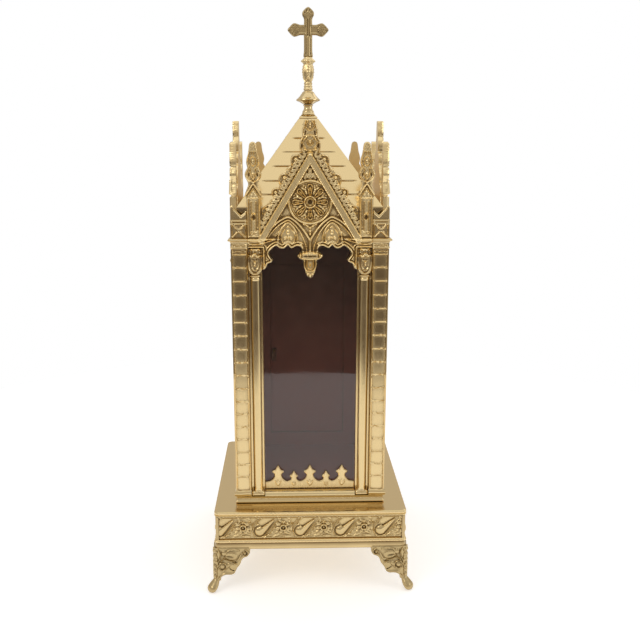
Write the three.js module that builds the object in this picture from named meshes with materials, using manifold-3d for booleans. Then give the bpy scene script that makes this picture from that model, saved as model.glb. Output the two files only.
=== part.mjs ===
// A Gothic tower reliquary in brass: a square glazed chamber on a footed plinth, with four gables, a pyramid
// roof and a cross. Millimetres, +Z up, the front faces -Y, and the origin is on the table under the centre.
import * as THREE from 'three';
import { mergeVertices } from 'three/addons/utils/BufferGeometryUtils.js';
import Module from 'manifold-3d';

const wasm = await Module();
wasm.setup();

// ---- Driving dimensions -------------------------------------------------------------------------------------
const FIT = 0.3;                  // the clearance between neighbouring pieces
const HALF_TURN = Math.PI;
const QUARTER = Math.PI / 2;

const PLINTH_HALF = 75;           // half the width of the plinth's top plate
const PLINTH_TOP = 66;            // the height of the plinth's top surface
const PLINTH_LIP = 4.2;           // the depth of the top plate's rolled lip
const PLINTH_BASE = 34.5;         // the underside of the plinth's moulding
const FRIEZE_HALF = 71.5;         // half the length of each frieze recess
const FRIEZE_LOW = 43;            // the frieze recess's lower edge
const PLINTH_WALL = 74.2;         // the plinth frame's outer face
const PLINTH_INSIDE = 70;         // the plinth frame's inner face

const FOOT_FACE = 76.8;           // the outer faces of a foot's bracket
const FOOT_INSET = 70.5;          // the inner faces of a foot's bracket
const FOOT_SCREW_AT = 62;         // the feet's screws, from both centre planes
const TOE_AT = 76.4;              // the centre of a toe, from both centre planes

const TOWER_HALF = 58.5;          // half the width of the tower across its corner posts
const POST_WIDTH = 12;
const POST_IN = TOWER_HALF - POST_WIDTH;
const OPENING_HALF = 36.5;        // half the clear width between a side's two columns
const SKIRT_TOP = 71.4;           // the top of the tower's moulded base
const FLOOR_LEVEL = SKIRT_TOP + FIT;
const SILL_TOP = 75.6;
const ABACUS_LOW = 269;           // the string course that ties the column heads to the posts
const ABACUS_TOP = 276.4;
const CEILING = 290.2;            // the underside of the ceiling plate
const CROWN_TOP = 300.4;          // the points of the corner posts

const COLUMN_X = 40.9;            // a column's axis, from the middle of its side
const COLUMN_Y = 54;
const COLUMN_R = 3.7;
const CAPITAL_LOW = 247.2;
const JAMB_FACE = 52.2;           // the jamb strip behind a column
const JAMB_BACK = 50.2;

const PANE_FACE = 49.7;           // the outer and inner faces of the front pane and the rear panel
const PANE_BACK = 47.9;
const PANE_HALF = 45.3;
const PANE_TOP = CEILING - FIT;

const GABLE_BACK = 54.4;
const GABLE_FACE = 57.4;
const ROSE_Z = 302.7;             // the centre of the rose window
const RAKE_FOOT = 38.3;           // the raking bars: half their spread at the foot, and their apex
const RAKE_APEX = 339.5;
const PENDANT_TIP = 246.5;

const ROOF_HALF = 54;
const EAVES = 298.9;
const ROOF_TOP = 363;
const ROOF_SLOPE = 1.383;         // fall in height for each millimetre from the axis
const STUD_HOLE = 2.2;

const DOOR_LOW = 83.5;            // the rear door's edges
const DOOR_HIGH = 243.5;
const DOOR_FREE = -36;
const HINGE_X = 34.4;             // the door's pivot axis
const HINGE_Y = 51.7;
const BARREL_R = 1.6;
const PIN_R = 0.75;
const BORE_R = 0.95;
const KNOB_X = -29.5;             // the latch spindle's axis
const KNOB_Z = 163.5;
const LATCH_BACK = 44.5;          // the latch tongue's inner face

const SIDES = ['front', 'right', 'back', 'left'];
const CORNERS = ['front_right', 'back_right', 'back_left', 'front_left'];

// ---- Materials ----------------------------------------------------------------------------------------------
const polished = () => new THREE.MeshStandardMaterial({ color: 0xd2b26b, roughness: 0.22, metalness: 1 });
const cast = () => new THREE.MeshStandardMaterial({ color: 0xb8954f, roughness: 0.38, metalness: 1 });
const steel = () => new THREE.MeshStandardMaterial({ color: 0x8d8a84, roughness: 0.4, metalness: 1 });
const velvet = () => new THREE.MeshStandardMaterial({ color: 0x3a1c1e, roughness: 0.95, metalness: 0 });
const paneGlass = () => new THREE.MeshStandardMaterial({
  color: 0xe6e2da, roughness: 0.04, metalness: 0, transparent: true, opacity: 0.25,
});

// ---- Solid helpers ------------------------------------------------------------------------------------------
const vectors = (points) => points.map(([x, y]) => new THREE.Vector2(x, y));
const mirroredX = (points) => points.map(([x, y]) => [-x, y]).reverse();

function toSolid(geometry) {
  const bare = geometry.clone();
  bare.deleteAttribute('normal');
  bare.deleteAttribute('uv');
  const merged = mergeVertices(bare, 1e-4);
  const corners = merged.index.array;
  const kept = [];
  for (let i = 0; i < corners.length; i += 3) {
    const [a, b, c] = corners.slice(i, i + 3);
    if (a !== b && b !== c && c !== a) kept.push(a, b, c);
  }
  return new wasm.Manifold(new wasm.Mesh({
    numProp: 3,
    vertProperties: new Float32Array(merged.attributes.position.array),
    triVerts: new Uint32Array(kept),
  }));
}

function toGeometry(solid) {
  const mesh = solid.getMesh();
  const geometry = new THREE.BufferGeometry();
  geometry.setAttribute('position', new THREE.BufferAttribute(mesh.vertProperties, 3));
  geometry.setIndex(new THREE.BufferAttribute(mesh.triVerts, 1));
  geometry.computeVertexNormals();
  return geometry;
}

const join = (...shapes) => toGeometry(shapes.map(toSolid).reduce((all, next) => all.add(next)));
const cut = (shape, ...tools) => toGeometry(tools.map(toSolid).reduce((left, tool) => left.subtract(tool),
  toSolid(shape)));
const keepWithin = (shape, tool) => toGeometry(toSolid(shape).intersect(toSolid(tool)));

function mirrored(geometry) {
  const twin = geometry.clone().scale(-1, 1, 1);
  const index = twin.index.array;
  for (let i = 0; i < index.length; i += 3) {
    [index[i + 1], index[i + 2]] = [index[i + 2], index[i + 1]];
  }
  return twin;
}

function box([x0, x1], [y0, y1], [z0, z1]) {
  const shape = new THREE.BoxGeometry(x1 - x0, y1 - y0, z1 - z0);
  return shape.translate((x0 + x1) / 2, (y0 + y1) / 2, (z0 + z1) / 2);
}

// A round body about +Z, from [radius, z] points that run up its outside.
function turned(profile, segments = 20) {
  return new THREE.LatheGeometry(vectors(profile), segments).rotateX(QUARTER);
}

// A square body with mitred corners, from [half width, z] points that run up its outside.
function squareTurned(profile) {
  const points = profile.map(([half, z]) => new THREE.Vector2(half * Math.SQRT2, z));
  return new THREE.LatheGeometry(points, 4).rotateY(Math.PI / 4).rotateX(QUARTER);
}

// A flat casting: a shape or [x, z] points, thickened from the plane Y = front to the plane Y = back.
function plate(outline, front, back) {
  const shape = Array.isArray(outline) ? new THREE.Shape(vectors(outline)) : outline;
  const options = { depth: back - front, bevelEnabled: false, curveSegments: 8 };
  return new THREE.ExtrudeGeometry(shape, options).rotateX(QUARTER).translate(0, back, 0);
}

// A straight bar along +Z from a shape or [x, y] points.
function upright(outline, [z0, z1]) {
  const shape = Array.isArray(outline) ? new THREE.Shape(vectors(outline)) : outline;
  const options = { depth: z1 - z0, bevelEnabled: false, curveSegments: 10 };
  return new THREE.ExtrudeGeometry(shape, options).translate(0, 0, z0);
}

function rodY(radius, [x, z], [y0, y1], segments = 16) {
  const rod = new THREE.CylinderGeometry(radius, radius, y1 - y0, segments);
  return rod.translate(x, (y0 + y1) / 2, z);
}

function rodZ(radius, [x, y], [z0, z1], segments = 16) {
  const rod = new THREE.CylinderGeometry(radius, radius, z1 - z0, segments).rotateX(QUARTER);
  return rod.translate(x, y, (z0 + z1) / 2);
}

// ---- Assembly helpers ---------------------------------------------------------------------------------------
const reliquary = new THREE.Group();

function place(name, geometry, material, turns = 0) {
  const mesh = new THREE.Mesh(geometry, material);
  mesh.name = name;
  mesh.rotation.z = turns * QUARTER;
  reliquary.add(mesh);
}

// ---- Plinth and feet ----------------------------------------------------------------------------------------
function plinthTopPlate() {
  const under = PLINTH_TOP - 1.2;
  const lip = PLINTH_TOP - PLINTH_LIP;
  const tray = squareTurned([
    [0, under], [PLINTH_HALF - 2.1, under], [PLINTH_HALF - 2.1, lip], [PLINTH_HALF - 0.8, lip],
    [PLINTH_HALF, lip + 0.8], [PLINTH_HALF, PLINTH_TOP - 0.8], [PLINTH_HALF - 0.8, PLINTH_TOP], [0, PLINTH_TOP],
  ]);
  return cut(tray, rodZ(2.9, [0, 0], [under - 1, PLINTH_TOP + 1]));
}

function plinthFrame() {
  const top = PLINTH_TOP - PLINTH_LIP - FIT;
  const ring = squareTurned([
    [PLINTH_INSIDE, PLINTH_BASE], [73, PLINTH_BASE], [73.4, 36.6], [PLINTH_WALL, 38.4], [75.3, 39.2],
    [75.3, 41.2], [PLINTH_WALL, 42], [PLINTH_WALL, top], [PLINTH_INSIDE, top], [PLINTH_INSIDE, PLINTH_BASE],
  ]);
  const recesses = SIDES.map((side, turns) => box(
    [-FRIEZE_HALF, FRIEZE_HALF], [-PLINTH_HALF, -PLINTH_WALL + 1.8], [FRIEZE_LOW, PLINTH_TOP],
  ).rotateZ(turns * QUARTER));
  return cut(ring, ...recesses);
}

function friezeStrip() {
  const across = FRIEZE_HALF - FIT;
  const top = PLINTH_TOP - PLINTH_LIP - 2 * FIT;
  return box([-across, across], [-PLINTH_WALL + FIT, -PLINTH_WALL + 1.8 - FIT], [FRIEZE_LOW + FIT, top]);
}

function baseCover() {
  const half = PLINTH_INSIDE - 0.4;
  const sheet = box([-half, half], [-half, half], [PLINTH_BASE + 0.5, PLINTH_BASE + 1.9]);
  const holes = CORNERS.map((corner, turns) => rodZ(
    1.8, [FOOT_SCREW_AT, -FOOT_SCREW_AT], [PLINTH_BASE, PLINTH_BASE + 3],
  ).rotateZ(turns * QUARTER));
  return cut(sheet, ...holes);
}

// A corner foot: two scrolled bracket arms, a screw lug between them, and a flattened toe that points outward.
function cornerFoot() {
  const arm = [
    [FOOT_FACE, 37], [48.6, 37], [47.4, 33.5], [48.2, 30.4], [50.1, 28.4], [52.6, 27.7], [54.1, 25.6],
    [55.4, 22.2], [57.4, 19.3], [58.9, 16.2], [60.4, 13.8], [62.6, 12.9], [66.4, 13], [69, 12.1],
    [70.9, 10.2], [71.8, 7.5], [FOOT_FACE, 7.5],
  ];
  const frontArm = plate(arm, -FOOT_FACE, -FOOT_INSET);
  const sideArm = plate(mirroredX(arm), -FOOT_FACE, -FOOT_INSET).rotateZ(QUARTER);
  const lugTop = PLINTH_BASE - FIT;
  const lug = box([54, FOOT_INSET + 1], [-FOOT_INSET - 1, -54], [lugTop - 3.7, lugTop]);
  const toe = new THREE.SphereGeometry(1, 14, 10).scale(4.6, 3, 7.2).rotateX(-Math.atan(Math.SQRT2))
    .rotateZ(Math.PI / 4).translate(TOE_AT, -TOE_AT, 4.2);
  const underMoulding = box([0, FOOT_FACE - 2.2], [-FOOT_FACE + 2.2, 0], [lugTop, 40]);
  const belowTable = box([60, 90], [-90, -60], [-5, 0]);
  const screwHole = rodZ(1.7, [FOOT_SCREW_AT, -FOOT_SCREW_AT], [28, 36]);
  return cut(join(frontArm, sideArm, lug, toe), underMoulding, belowTable, screwHole);
}

function footScrew() {
  const seat = PLINTH_BASE - 2 * FIT - 3.7;
  const profile = [[0, seat - 2], [3, seat - 2], [3, seat], [1.4, seat], [1.4, 39], [0, 39]];
  return turned(profile, 12).translate(FOOT_SCREW_AT, -FOOT_SCREW_AT, 0);
}

// ---- Tower --------------------------------------------------------------------------------------------------
function towerBase() {
  const low = PLINTH_TOP + FIT;
  const skirt = squareTurned([
    [0, low], [TOWER_HALF - 0.3, low], [TOWER_HALF, low + 0.6], [57.6, low + 1.9], [57.2, low + 3.2],
    [57.8, SKIRT_TOP], [0, SKIRT_TOP],
  ]);
  const sillHalf = OPENING_HALF - FIT;
  const sills = SIDES.map((side, turns) => box(
    [-sillHalf, sillHalf], [-57, -JAMB_BACK - 0.1], [SKIRT_TOP - 1, SILL_TOP],
  ).rotateZ(turns * QUARTER));
  return cut(join(skirt, ...sills), rodZ(2.7, [0, 0], [low - 1, SKIRT_TOP + 1]));
}

function towerBolt() {
  const seat = PLINTH_TOP - 1.2 - FIT;
  return turned([[0, seat - 3.5], [5.5, seat - 3.5], [5.5, seat], [2.4, seat], [2.4, SKIRT_TOP - FIT],
    [0, SKIRT_TOP - FIT]], 12);
}

// A corner post: a foot block, a shaft with a sunk panel on both outer faces, a collar level with the string
// course, a square block, and a crown of two notched walls.
function cornerPost() {
  const rail = 1.8;
  const sunk = 0.8;
  const [near, far] = [POST_IN, TOWER_HALF];
  const section = [
    [near, -near], [near, -far], [near + rail, -far], [near + rail, -far + sunk], [far - rail, -far + sunk],
    [far - rail, -far], [far, -far], [far, -far + rail], [far - sunk, -far + rail], [far - sunk, -near - rail],
    [far, -near - rail], [far, -near],
  ];
  const shaft = upright(section, [SILL_TOP, ABACUS_LOW]);
  const foot = box([near, far + 0.4], [-far - 0.4, -near], [FLOOR_LEVEL, SILL_TOP + 0.5]);
  const collar = upright([[near, -near], [near, -far - 1.7], [far + 1.7, -far - 1.7], [far + 1.7, -near]],
    [ABACUS_LOW, ABACUS_TOP]);
  const block = box([near, far], [-far, -near], [ABACUS_TOP - 0.5, CEILING - FIT]);
  const wall = [
    [near, CEILING - 1], [far, CEILING - 1], [far, CROWN_TOP - 1], [57, CROWN_TOP], [50.6, 293.3], [near, 297],
  ];
  const frontWall = plate(wall, -far, -far + 2);
  const sideWall = plate(mirroredX(wall), -far, -far + 2).rotateZ(QUARTER);
  return join(shaft, foot, collar, block, frontWall, sideWall);
}

// An engaged column with its jamb strip, foot pad and flared capital, on the right-hand side of a face.
function engagedColumn() {
  const edge = Math.asin((COLUMN_Y - JAMB_FACE) / COLUMN_R);
  const section = new THREE.Shape();
  section.moveTo(POST_IN - FIT, -JAMB_BACK);
  section.lineTo(OPENING_HALF, -JAMB_BACK);
  section.lineTo(OPENING_HALF, -JAMB_FACE);
  section.absarc(COLUMN_X, -COLUMN_Y, COLUMN_R, HALF_TURN - edge, 2 * HALF_TURN + edge, false);
  section.lineTo(POST_IN - FIT, -JAMB_FACE);
  const shaft = upright(section, [FLOOR_LEVEL, ABACUS_LOW - FIT]);
  const pad = box([OPENING_HALF, POST_IN - FIT], [-COLUMN_Y - COLUMN_R - 0.3, -JAMB_BACK], [FLOOR_LEVEL, SILL_TOP]);
  const capital = turned([
    [0, CAPITAL_LOW], [4.3, CAPITAL_LOW], [4.5, 248.4], [3.9, 249.6], [4.9, 252.5], [5.1, 258], [4.4, 262],
    [5.2, 265.5], [5.2, ABACUS_LOW - FIT], [0, ABACUS_LOW - FIT],
  ], 14).translate(COLUMN_X, -COLUMN_Y, 0);
  const behind = box([30, 50], [-JAMB_BACK, -40], [CAPITAL_LOW - 1, ABACUS_LOW]);
  return join(shaft, pad, cut(capital, behind));
}

// ---- Gables -------------------------------------------------------------------------------------------------
// The right half of a gable casting's outline: the cusped lower edge, the string course, the pinnacle, the
// crocketed rake and the finial.
const GABLE_RIGHT = [
  [5.3, 263.5], [6.3, 267.5], [8.2, 270.3], [10.3, 269.9], [13.3, 268.4], [16.6, 271], [19.9, 268.4],
  [25.2, 270.5], [28.8, 267.5], [30.2, 264.8], [27.4, 260.4], [31.5, 257], [35.2, 252.8], [35.2, ABACUS_LOW],
  [46.2, ABACUS_LOW], [46.2, 309.7], [43.8, 318], [47.4, 325.5], [44.8, 333], [43.4, 345.4], [40.4, 345.4],
  [38.6, 333], [35.9, 325.5], [39.3, 318], [37, 309.7], [37, 298.6], [33.7, 297.6], [29.1, 302.6],
  [25.2, 306.6], [26, 310.8], [21.4, 314.4], [21.3, 320], [16.4, 326.6], [13.2, 329], [13.4, 333], [11, 336],
  [6, 337], [8.5, 342.5], [6.4, 348.3], [6.9, 353], [4.6, 360.8],
];

function ring(outer, inner, [x, z], front, back) {
  const shape = new THREE.Shape().absarc(x, z, outer, 0, 2 * HALF_TURN, false);
  shape.holes.push(new THREE.Path().absarc(x, z, inner, 0, 2 * HALF_TURN, true));
  return plate(shape, front, back);
}

function gableCasting() {
  const web = plate([...GABLE_RIGHT, ...mirroredX(GABLE_RIGHT)], -GABLE_FACE, -GABLE_BACK);
  const raised = -GABLE_FACE - 1.6;
  const seat = -GABLE_FACE + 0.5;
  const rakes = plate([
    [-RAKE_FOOT, ABACUS_TOP], [-33.9, ABACUS_TOP], [0, 332.2], [33.9, ABACUS_TOP], [RAKE_FOOT, ABACUS_TOP],
    [0, RAKE_APEX],
  ], raised, seat);
  const rose = ring(16.3, 14.2, [0, ROSE_Z], raised + 0.4, seat);
  const hub = rodY(4.5, [0, ROSE_Z], [raised, seat]);
  const pendant = turned([
    [0, PENDANT_TIP], [2.4, 248], [4.4, 251], [5.6, 254.5], [6.5, 259], [9, 261.2], [9, 264.5], [7.4, 266],
    [0, 266],
  ], 16).scale(1, 0.44, 1).translate(0, -GABLE_FACE + 1.4, 0);
  const ends = [1, -1].flatMap((hand) => {
    const between = (a, b) => (hand > 0 ? [a, b] : [-b, -a]);
    return [
      box(between(35.2, 46.2), [-TOWER_HALF - 1.7, seat], [ABACUS_LOW, ABACUS_TOP]),
      box(between(37.4, 45.8), [-TOWER_HALF - 0.8, seat], [ABACUS_TOP - 0.5, 309]),
    ];
  });
  return join(web, rakes, rose, hub, pendant, ...ends);
}

// ---- Cresting, glass, panels and linings ---------------------------------------------------------------------
function crestingStrip() {
  const valley = 81;
  const half = OPENING_HALF - FIT;
  const fleuron = (x, big) => {
    const [stem, neck, arm, tip] = big ? [3, 86.2, 4.6, 94.9] : [1.9, 84.8, 3.5, 90];
    const side = [[stem + 1.6, valley + 0.6], [stem, neck - 1.4], [arm, neck + 1.5], [stem - 0.7, neck + 3]];
    return [...mirroredX(side).reverse(), [0, tip], ...side.slice().reverse()].map(([dx, z]) => [x + dx, z]);
  };
  const crown = [-25.4, -12.8, 0, 12.8, 25.4].flatMap((x, i) => fleuron(x, i % 2 === 0));
  const base = SILL_TOP + FIT;
  return plate([[half, base], [half, valley], ...crown.reverse(), [-half, valley], [-half, base]],
    -JAMB_FACE + 0.4, -JAMB_BACK);
}

const frontGlass = () => box([-PANE_HALF, PANE_HALF], [-PANE_FACE, -PANE_BACK], [FLOOR_LEVEL, PANE_TOP]);

function sidePanel() {
  const half = POST_IN - FIT;
  return box([48, 49.6], [-half, half], [FLOOR_LEVEL, PANE_TOP]);
}

const floorLining = () => box([-45.4, 45.4], [-47.5, 46.2], [FLOOR_LEVEL, FLOOR_LEVEL + 1.8]);

const doorway = () => box([-33, 33], [LATCH_BACK, PANE_FACE + 1], [DOOR_LOW + 1.5, DOOR_HIGH - 2.5]);

function rearPanel() {
  return cut(box([-PANE_HALF, PANE_HALF], [PANE_BACK, PANE_FACE], [FLOOR_LEVEL, PANE_TOP]), doorway());
}

// One strip of lining, folded round the two side walls and the back, with the doorway cut out of it.
function wallLining() {
  const half = [[45.7, 46.5], [45.7, -46.2], [47.7, -46.2], [47.7, 46.2], [46.2, 46.2], [46.2, 47.6]];
  return cut(upright([...half, ...mirroredX(half)], [FLOOR_LEVEL, PANE_TOP - FIT]), doorway());
}

// ---- Rear door ----------------------------------------------------------------------------------------------
const DOOR_BACK = PANE_FACE + 0.4;
const DOOR_FACE = DOOR_BACK + 1.5;

function doorPanel() {
  const sheet = box([DOOR_FREE, HINGE_X - 0.2], [DOOR_BACK, DOOR_FACE], [DOOR_LOW, DOOR_HIGH]);
  const [left, right, low, high] = [DOOR_FREE + 2, 31, DOOR_LOW + 2.5, DOOR_HIGH - 2.5];
  const border = new THREE.Shape(vectors([[left, low], [right, low], [right, high], [left, high]]));
  border.holes.push(new THREE.Path(vectors([
    [left + 4, low + 4], [left + 4, high - 4], [right - 4, high - 4], [right - 4, low + 4],
  ])));
  const moulding = plate(border, DOOR_FACE - 0.3, DOOR_FACE + 0.9);
  const barrel = rodZ(BARREL_R, [HINGE_X, HINGE_Y], [DOOR_LOW, DOOR_HIGH]);
  const bore = rodZ(BORE_R, [HINGE_X, HINGE_Y], [DOOR_LOW - 1, DOOR_HIGH + 1], 12);
  const spindleHole = rodY(1.5, [KNOB_X, KNOB_Z], [DOOR_BACK - 1, DOOR_FACE + 3]);
  return cut(join(sheet, moulding, barrel), bore, spindleHole);
}

function doorLining() {
  const pad = box([-32.2, 31.4], [48.1, DOOR_BACK - FIT], [DOOR_LOW + 2.5, DOOR_HIGH - 3.5]);
  return cut(pad, rodY(1.6, [KNOB_X, KNOB_Z], [47, DOOR_BACK]));
}

// A bracket soldered to the rear panel, which carries a door pin.
function hingeBracket([low, high]) {
  const block = box([32.6, 36.2], [DOOR_BACK, HINGE_Y + 1.8], [low, high]);
  return cut(block, rodZ(BORE_R, [HINGE_X, HINGE_Y], [low - 1, high + 1], 12));
}

const hingePin = (low, high) => rodZ(PIN_R, [HINGE_X, HINGE_Y], [low, high], 12);

// The lower bracket with its fixed pin, on which the door stands.
function hingePintle() {
  const bracket = box([32.6, 36.2], [DOOR_BACK, HINGE_Y + 1.8], [DOOR_LOW - 3.4, DOOR_LOW - 0.4]);
  return join(bracket, hingePin(DOOR_LOW - 2.8, DOOR_LOW + 9));
}

function headedPin(low, high) {
  return join(hingePin(low, high), rodZ(1.4, [HINGE_X, HINGE_Y], [high - 0.9, high], 12));
}

function doorKnob() {
  const head = turned([
    [0, LATCH_BACK - 0.7], [1.2, LATCH_BACK - 0.7], [1.2, 53.4], [2.6, 53.4], [2.2, 54.6], [1.9, 55.8], [3.6, 57.2], [3.9, 58.6],
    [3.1, 59.8], [0, 60.2],
  ], 16);
  return head.rotateX(-QUARTER).translate(KNOB_X, 0, KNOB_Z);
}

// The latch tongue hangs down at rest, clear of the jamb, and turns a quarter to reach behind it.
function latchTongue() {
  const bar = box([KNOB_X - 2, KNOB_X + 2], [LATCH_BACK, LATCH_BACK + 1.5], [KNOB_Z - 9, KNOB_Z + 2.4]);
  return cut(bar, rodY(1.5, [KNOB_X, KNOB_Z], [LATCH_BACK - 1, 49], 12));
}

// ---- Roof and cross -----------------------------------------------------------------------------------------
function ceilingPlate() {
  return box([-ROOF_HALF, ROOF_HALF], [-ROOF_HALF, ROOF_HALF], [CEILING, CEILING + 1.6]);
}

// One of the roof's four sheet faces, mitred at the hips and folded over at the top. It stands on an eaves band.
function roofFace() {
  const low = CEILING + 1.6 + FIT;
  const topHalf = ROOF_HALF - (ROOF_TOP - EAVES) / ROOF_SLOPE;
  const wall = 1.3;
  const under = ROOF_TOP - 1.8;
  const underHalf = topHalf - wall + 1.8 / ROOF_SLOPE;
  const shell = squareTurned([
    [0, under], [underHalf, under], [ROOF_HALF - wall, EAVES], [ROOF_HALF - wall, low], [ROOF_HALF, low],
    [ROOF_HALF, EAVES], [topHalf, ROOF_TOP], [0, ROOF_TOP],
  ]);
  const seam = FIT / 2 * Math.SQRT2;
  const wedge = upright([[0, -seam], [-80, -80 - seam], [80, -80 - seam]], [CEILING, ROOF_TOP + 1]);
  return keepWithin(cut(shell, rodZ(STUD_HOLE, [0, 0], [under - 1, ROOF_TOP + 1])), wedge);
}

const boredForStud = (shape) => cut(shape, rodZ(STUD_HOLE, [0, 0], [ROOF_TOP, 405]));

function apexCap() {
  const low = ROOF_TOP + FIT;
  const foot = squareTurned([[0, low], [6.5, low], [6.5, low + 0.9], [4.4, 368.1], [0, 368.1]]);
  const stem = turned([[0, 366], [4.2, 366], [4.3, 368.4], [3.25, 371], [3.5, 373.6], [0, 373.6]]);
  return boredForStud(join(foot, stem));
}

function collar() {
  return boredForStud(turned([
    [0, 373.9], [3.6, 373.9], [9.3, 376.9], [9.3, 377.6], [5.6, 382], [3.7, 384], [0, 384],
  ], 24));
}

function baluster() {
  return boredForStud(turned([
    [0, 384.3], [3.6, 384.3], [3.6, 388.3], [3, 389.4], [3.4, 392], [4.9, 399.1], [3.7, 403.6], [5.7, 405.3],
    [5.7, 406.9], [3.6, 409], [0, 409],
  ], 20));
}

// A flat cross whose three free arms end in pointed lobes.
function cross() {
  const half = [
    [3.6, 409.3], [3.3, 412], [3.3, 425.3], [7.3, 425.6], [10.5, 424.3], [13.2, 425.6], [15.8, 429],
    [13.2, 432.4], [10.5, 433.7], [7.3, 432.4], [3.2, 432.8], [3.3, 436.6], [4.5, 440.4], [2.2, 444],
  ];
  return plate([...half, [0, 445.6], ...mirroredX(half)], -2.2, 2.2);
}

function finialStud() {
  return rodZ(1.9, [0, 0], [352, 404], 12);
}

function finialNut() {
  const top = ROOF_TOP - 1.8 - FIT;
  return cut(rodZ(4.2, [0, 0], [top - 3.6, top], 6), rodZ(STUD_HOLE, [0, 0], [top - 5, top + 1]));
}

// ---- Assembly -----------------------------------------------------------------------------------------------
place('plinth_top_plate', plinthTopPlate(), polished());
place('plinth_frame', plinthFrame(), polished());
place('base_cover', baseCover(), polished());
place('tower_base', towerBase(), polished());
place('tower_bolt', towerBolt(), steel());
place('velvet_floor', floorLining(), velvet());
place('front_glass', frontGlass(), paneGlass());
place('rear_panel', rearPanel(), polished());
place('velvet_walls', wallLining(), velvet());
place('door_panel', doorPanel(), polished());
place('door_lining', doorLining(), velvet());
place('door_knob', doorKnob(), polished());
place('latch_tongue', latchTongue(), polished());
place('hinge_pintle', hingePintle(), polished());
place('hinge_bracket', hingeBracket([DOOR_HIGH + 0.4, DOOR_HIGH + 2.9]), polished());
place('hinge_pin', headedPin(DOOR_HIGH - 8.5, DOOR_HIGH + 4.1), steel());
place('ceiling_plate', ceilingPlate(), polished());
place('apex_cap', apexCap(), polished());
place('collar', collar(), polished());
place('baluster', baluster(), cast());
place('cross', cross(), cast());
place('finial_stud', finialStud(), steel());
place('finial_nut', finialNut(), steel());

CORNERS.forEach((corner, turns) => {
  place(`foot_${corner}`, cornerFoot(), cast(), turns);
  place(`foot_screw_${corner}`, footScrew(), steel(), turns);
  place(`post_${corner}`, cornerPost(), polished(), turns);
});

SIDES.forEach((side, turns) => {
  const column = engagedColumn();
  place(`frieze_${side}`, friezeStrip(), cast(), turns);
  place(`roof_${side}`, roofFace(), polished(), turns);
  place(`gable_${side}`, gableCasting(), cast(), turns);
  place(`column_${side}_right`, column, polished(), turns);
  place(`column_${side}_left`, mirrored(column), polished(), turns);
  if (side !== 'back') place(`cresting_${side}`, crestingStrip(), cast(), turns);
});

for (const [side, turns] of [['right', 0], ['left', 2]]) {
  place(`side_panel_${side}`, sidePanel(), polished(), turns);
}

export default reliquary;
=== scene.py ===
"""A brass Gothic tower reliquary: cast gables, laddered posts, engaged columns, an embossed plinth on
scrolled feet, a coursed pyramid roof and a cross. Lengths are worked in millimetres and turned to metres in
each mesh."""

import math

import bpy
import numpy as np
from mathutils import Matrix, Vector


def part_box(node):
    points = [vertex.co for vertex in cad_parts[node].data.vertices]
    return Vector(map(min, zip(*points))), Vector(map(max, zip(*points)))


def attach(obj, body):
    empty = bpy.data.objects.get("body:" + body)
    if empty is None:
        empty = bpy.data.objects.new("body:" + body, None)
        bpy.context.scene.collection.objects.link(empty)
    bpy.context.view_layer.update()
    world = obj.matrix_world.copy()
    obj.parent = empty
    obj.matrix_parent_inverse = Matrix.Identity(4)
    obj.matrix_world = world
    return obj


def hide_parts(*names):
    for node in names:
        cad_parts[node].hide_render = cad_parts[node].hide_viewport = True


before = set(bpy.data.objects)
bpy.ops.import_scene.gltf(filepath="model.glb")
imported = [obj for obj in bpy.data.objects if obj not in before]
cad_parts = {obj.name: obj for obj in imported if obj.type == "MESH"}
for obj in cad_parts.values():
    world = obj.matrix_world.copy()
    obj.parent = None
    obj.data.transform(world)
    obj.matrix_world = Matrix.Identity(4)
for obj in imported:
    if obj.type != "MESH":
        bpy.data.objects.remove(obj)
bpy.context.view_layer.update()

MM = 0.001
TURN = 2 * math.pi
SIDES = ["front", "right", "back", "left"]
CORNERS = ["front_right", "back_right", "back_left", "front_left"]
RNG = np.random.default_rng(7)


def low(node, axis):
    """A CAD node's lowest coordinate along axis 0, 1 or 2, in millimetres."""
    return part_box(node)[0][axis] / MM


def high(node, axis):
    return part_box(node)[1][axis] / MM


# ---- Places taken from the frame ----
PLINTH_HALF = high("plinth_top_plate", 0)
PLINTH_TOP = high("plinth_top_plate", 2)
LIP_LOW = low("plinth_top_plate", 2)
FRAME_LOW = low("plinth_frame", 2)
FRAME_TOP = high("plinth_frame", 2)
FRIEZE_HALF = high("frieze_front", 0)
FRIEZE_LOW, FRIEZE_TOP = low("frieze_front", 2), high("frieze_front", 2)
FRIEZE_BACK = -high("frieze_front", 1)
TOWER_HALF = high("tower_base", 0)
BASE_LOW = low("tower_base", 2)
SILL_TOP = high("tower_base", 2)
SKIRT_TOP = SILL_TOP - 4.2  # where the sills' rolls start
POST_IN = TOWER_HALF - 12
POST_LOW, CROWN_TOP = low("post_front_left", 2), high("post_front_left", 2)
COLUMN_TOP = high("column_front_right", 2)
OPENING_HALF = low("column_front_right", 0)
SILL_HALF = OPENING_HALF - 0.3
ABACUS_LOW = COLUMN_TOP + 0.3
ABACUS_TOP = ABACUS_LOW + 7.4
CEILING = low("ceiling_plate", 2)
ROOF_HALF = -low("roof_front", 1)
ROOF_LOW, ROOF_TOP = low("roof_front", 2), high("roof_front", 2)
GABLE_BACK = ROOF_HALF + 0.4
GABLE_FACE = GABLE_BACK + 2.6


# ---- Mesh tools ----
def new_mesh(name, points, faces, smooth_below=40):
    """A mesh from points in millimetres. Edges sharper than smooth_below degrees stay crisp."""
    mesh = bpy.data.meshes.new(name)
    mesh.from_pydata((np.asarray(points) * MM).tolist(), [], faces)
    mesh.polygons.foreach_set("use_smooth", [True] * len(mesh.polygons))
    mesh.set_sharp_from_angle(angle=math.radians(smooth_below))
    mesh.update()
    return mesh


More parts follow.
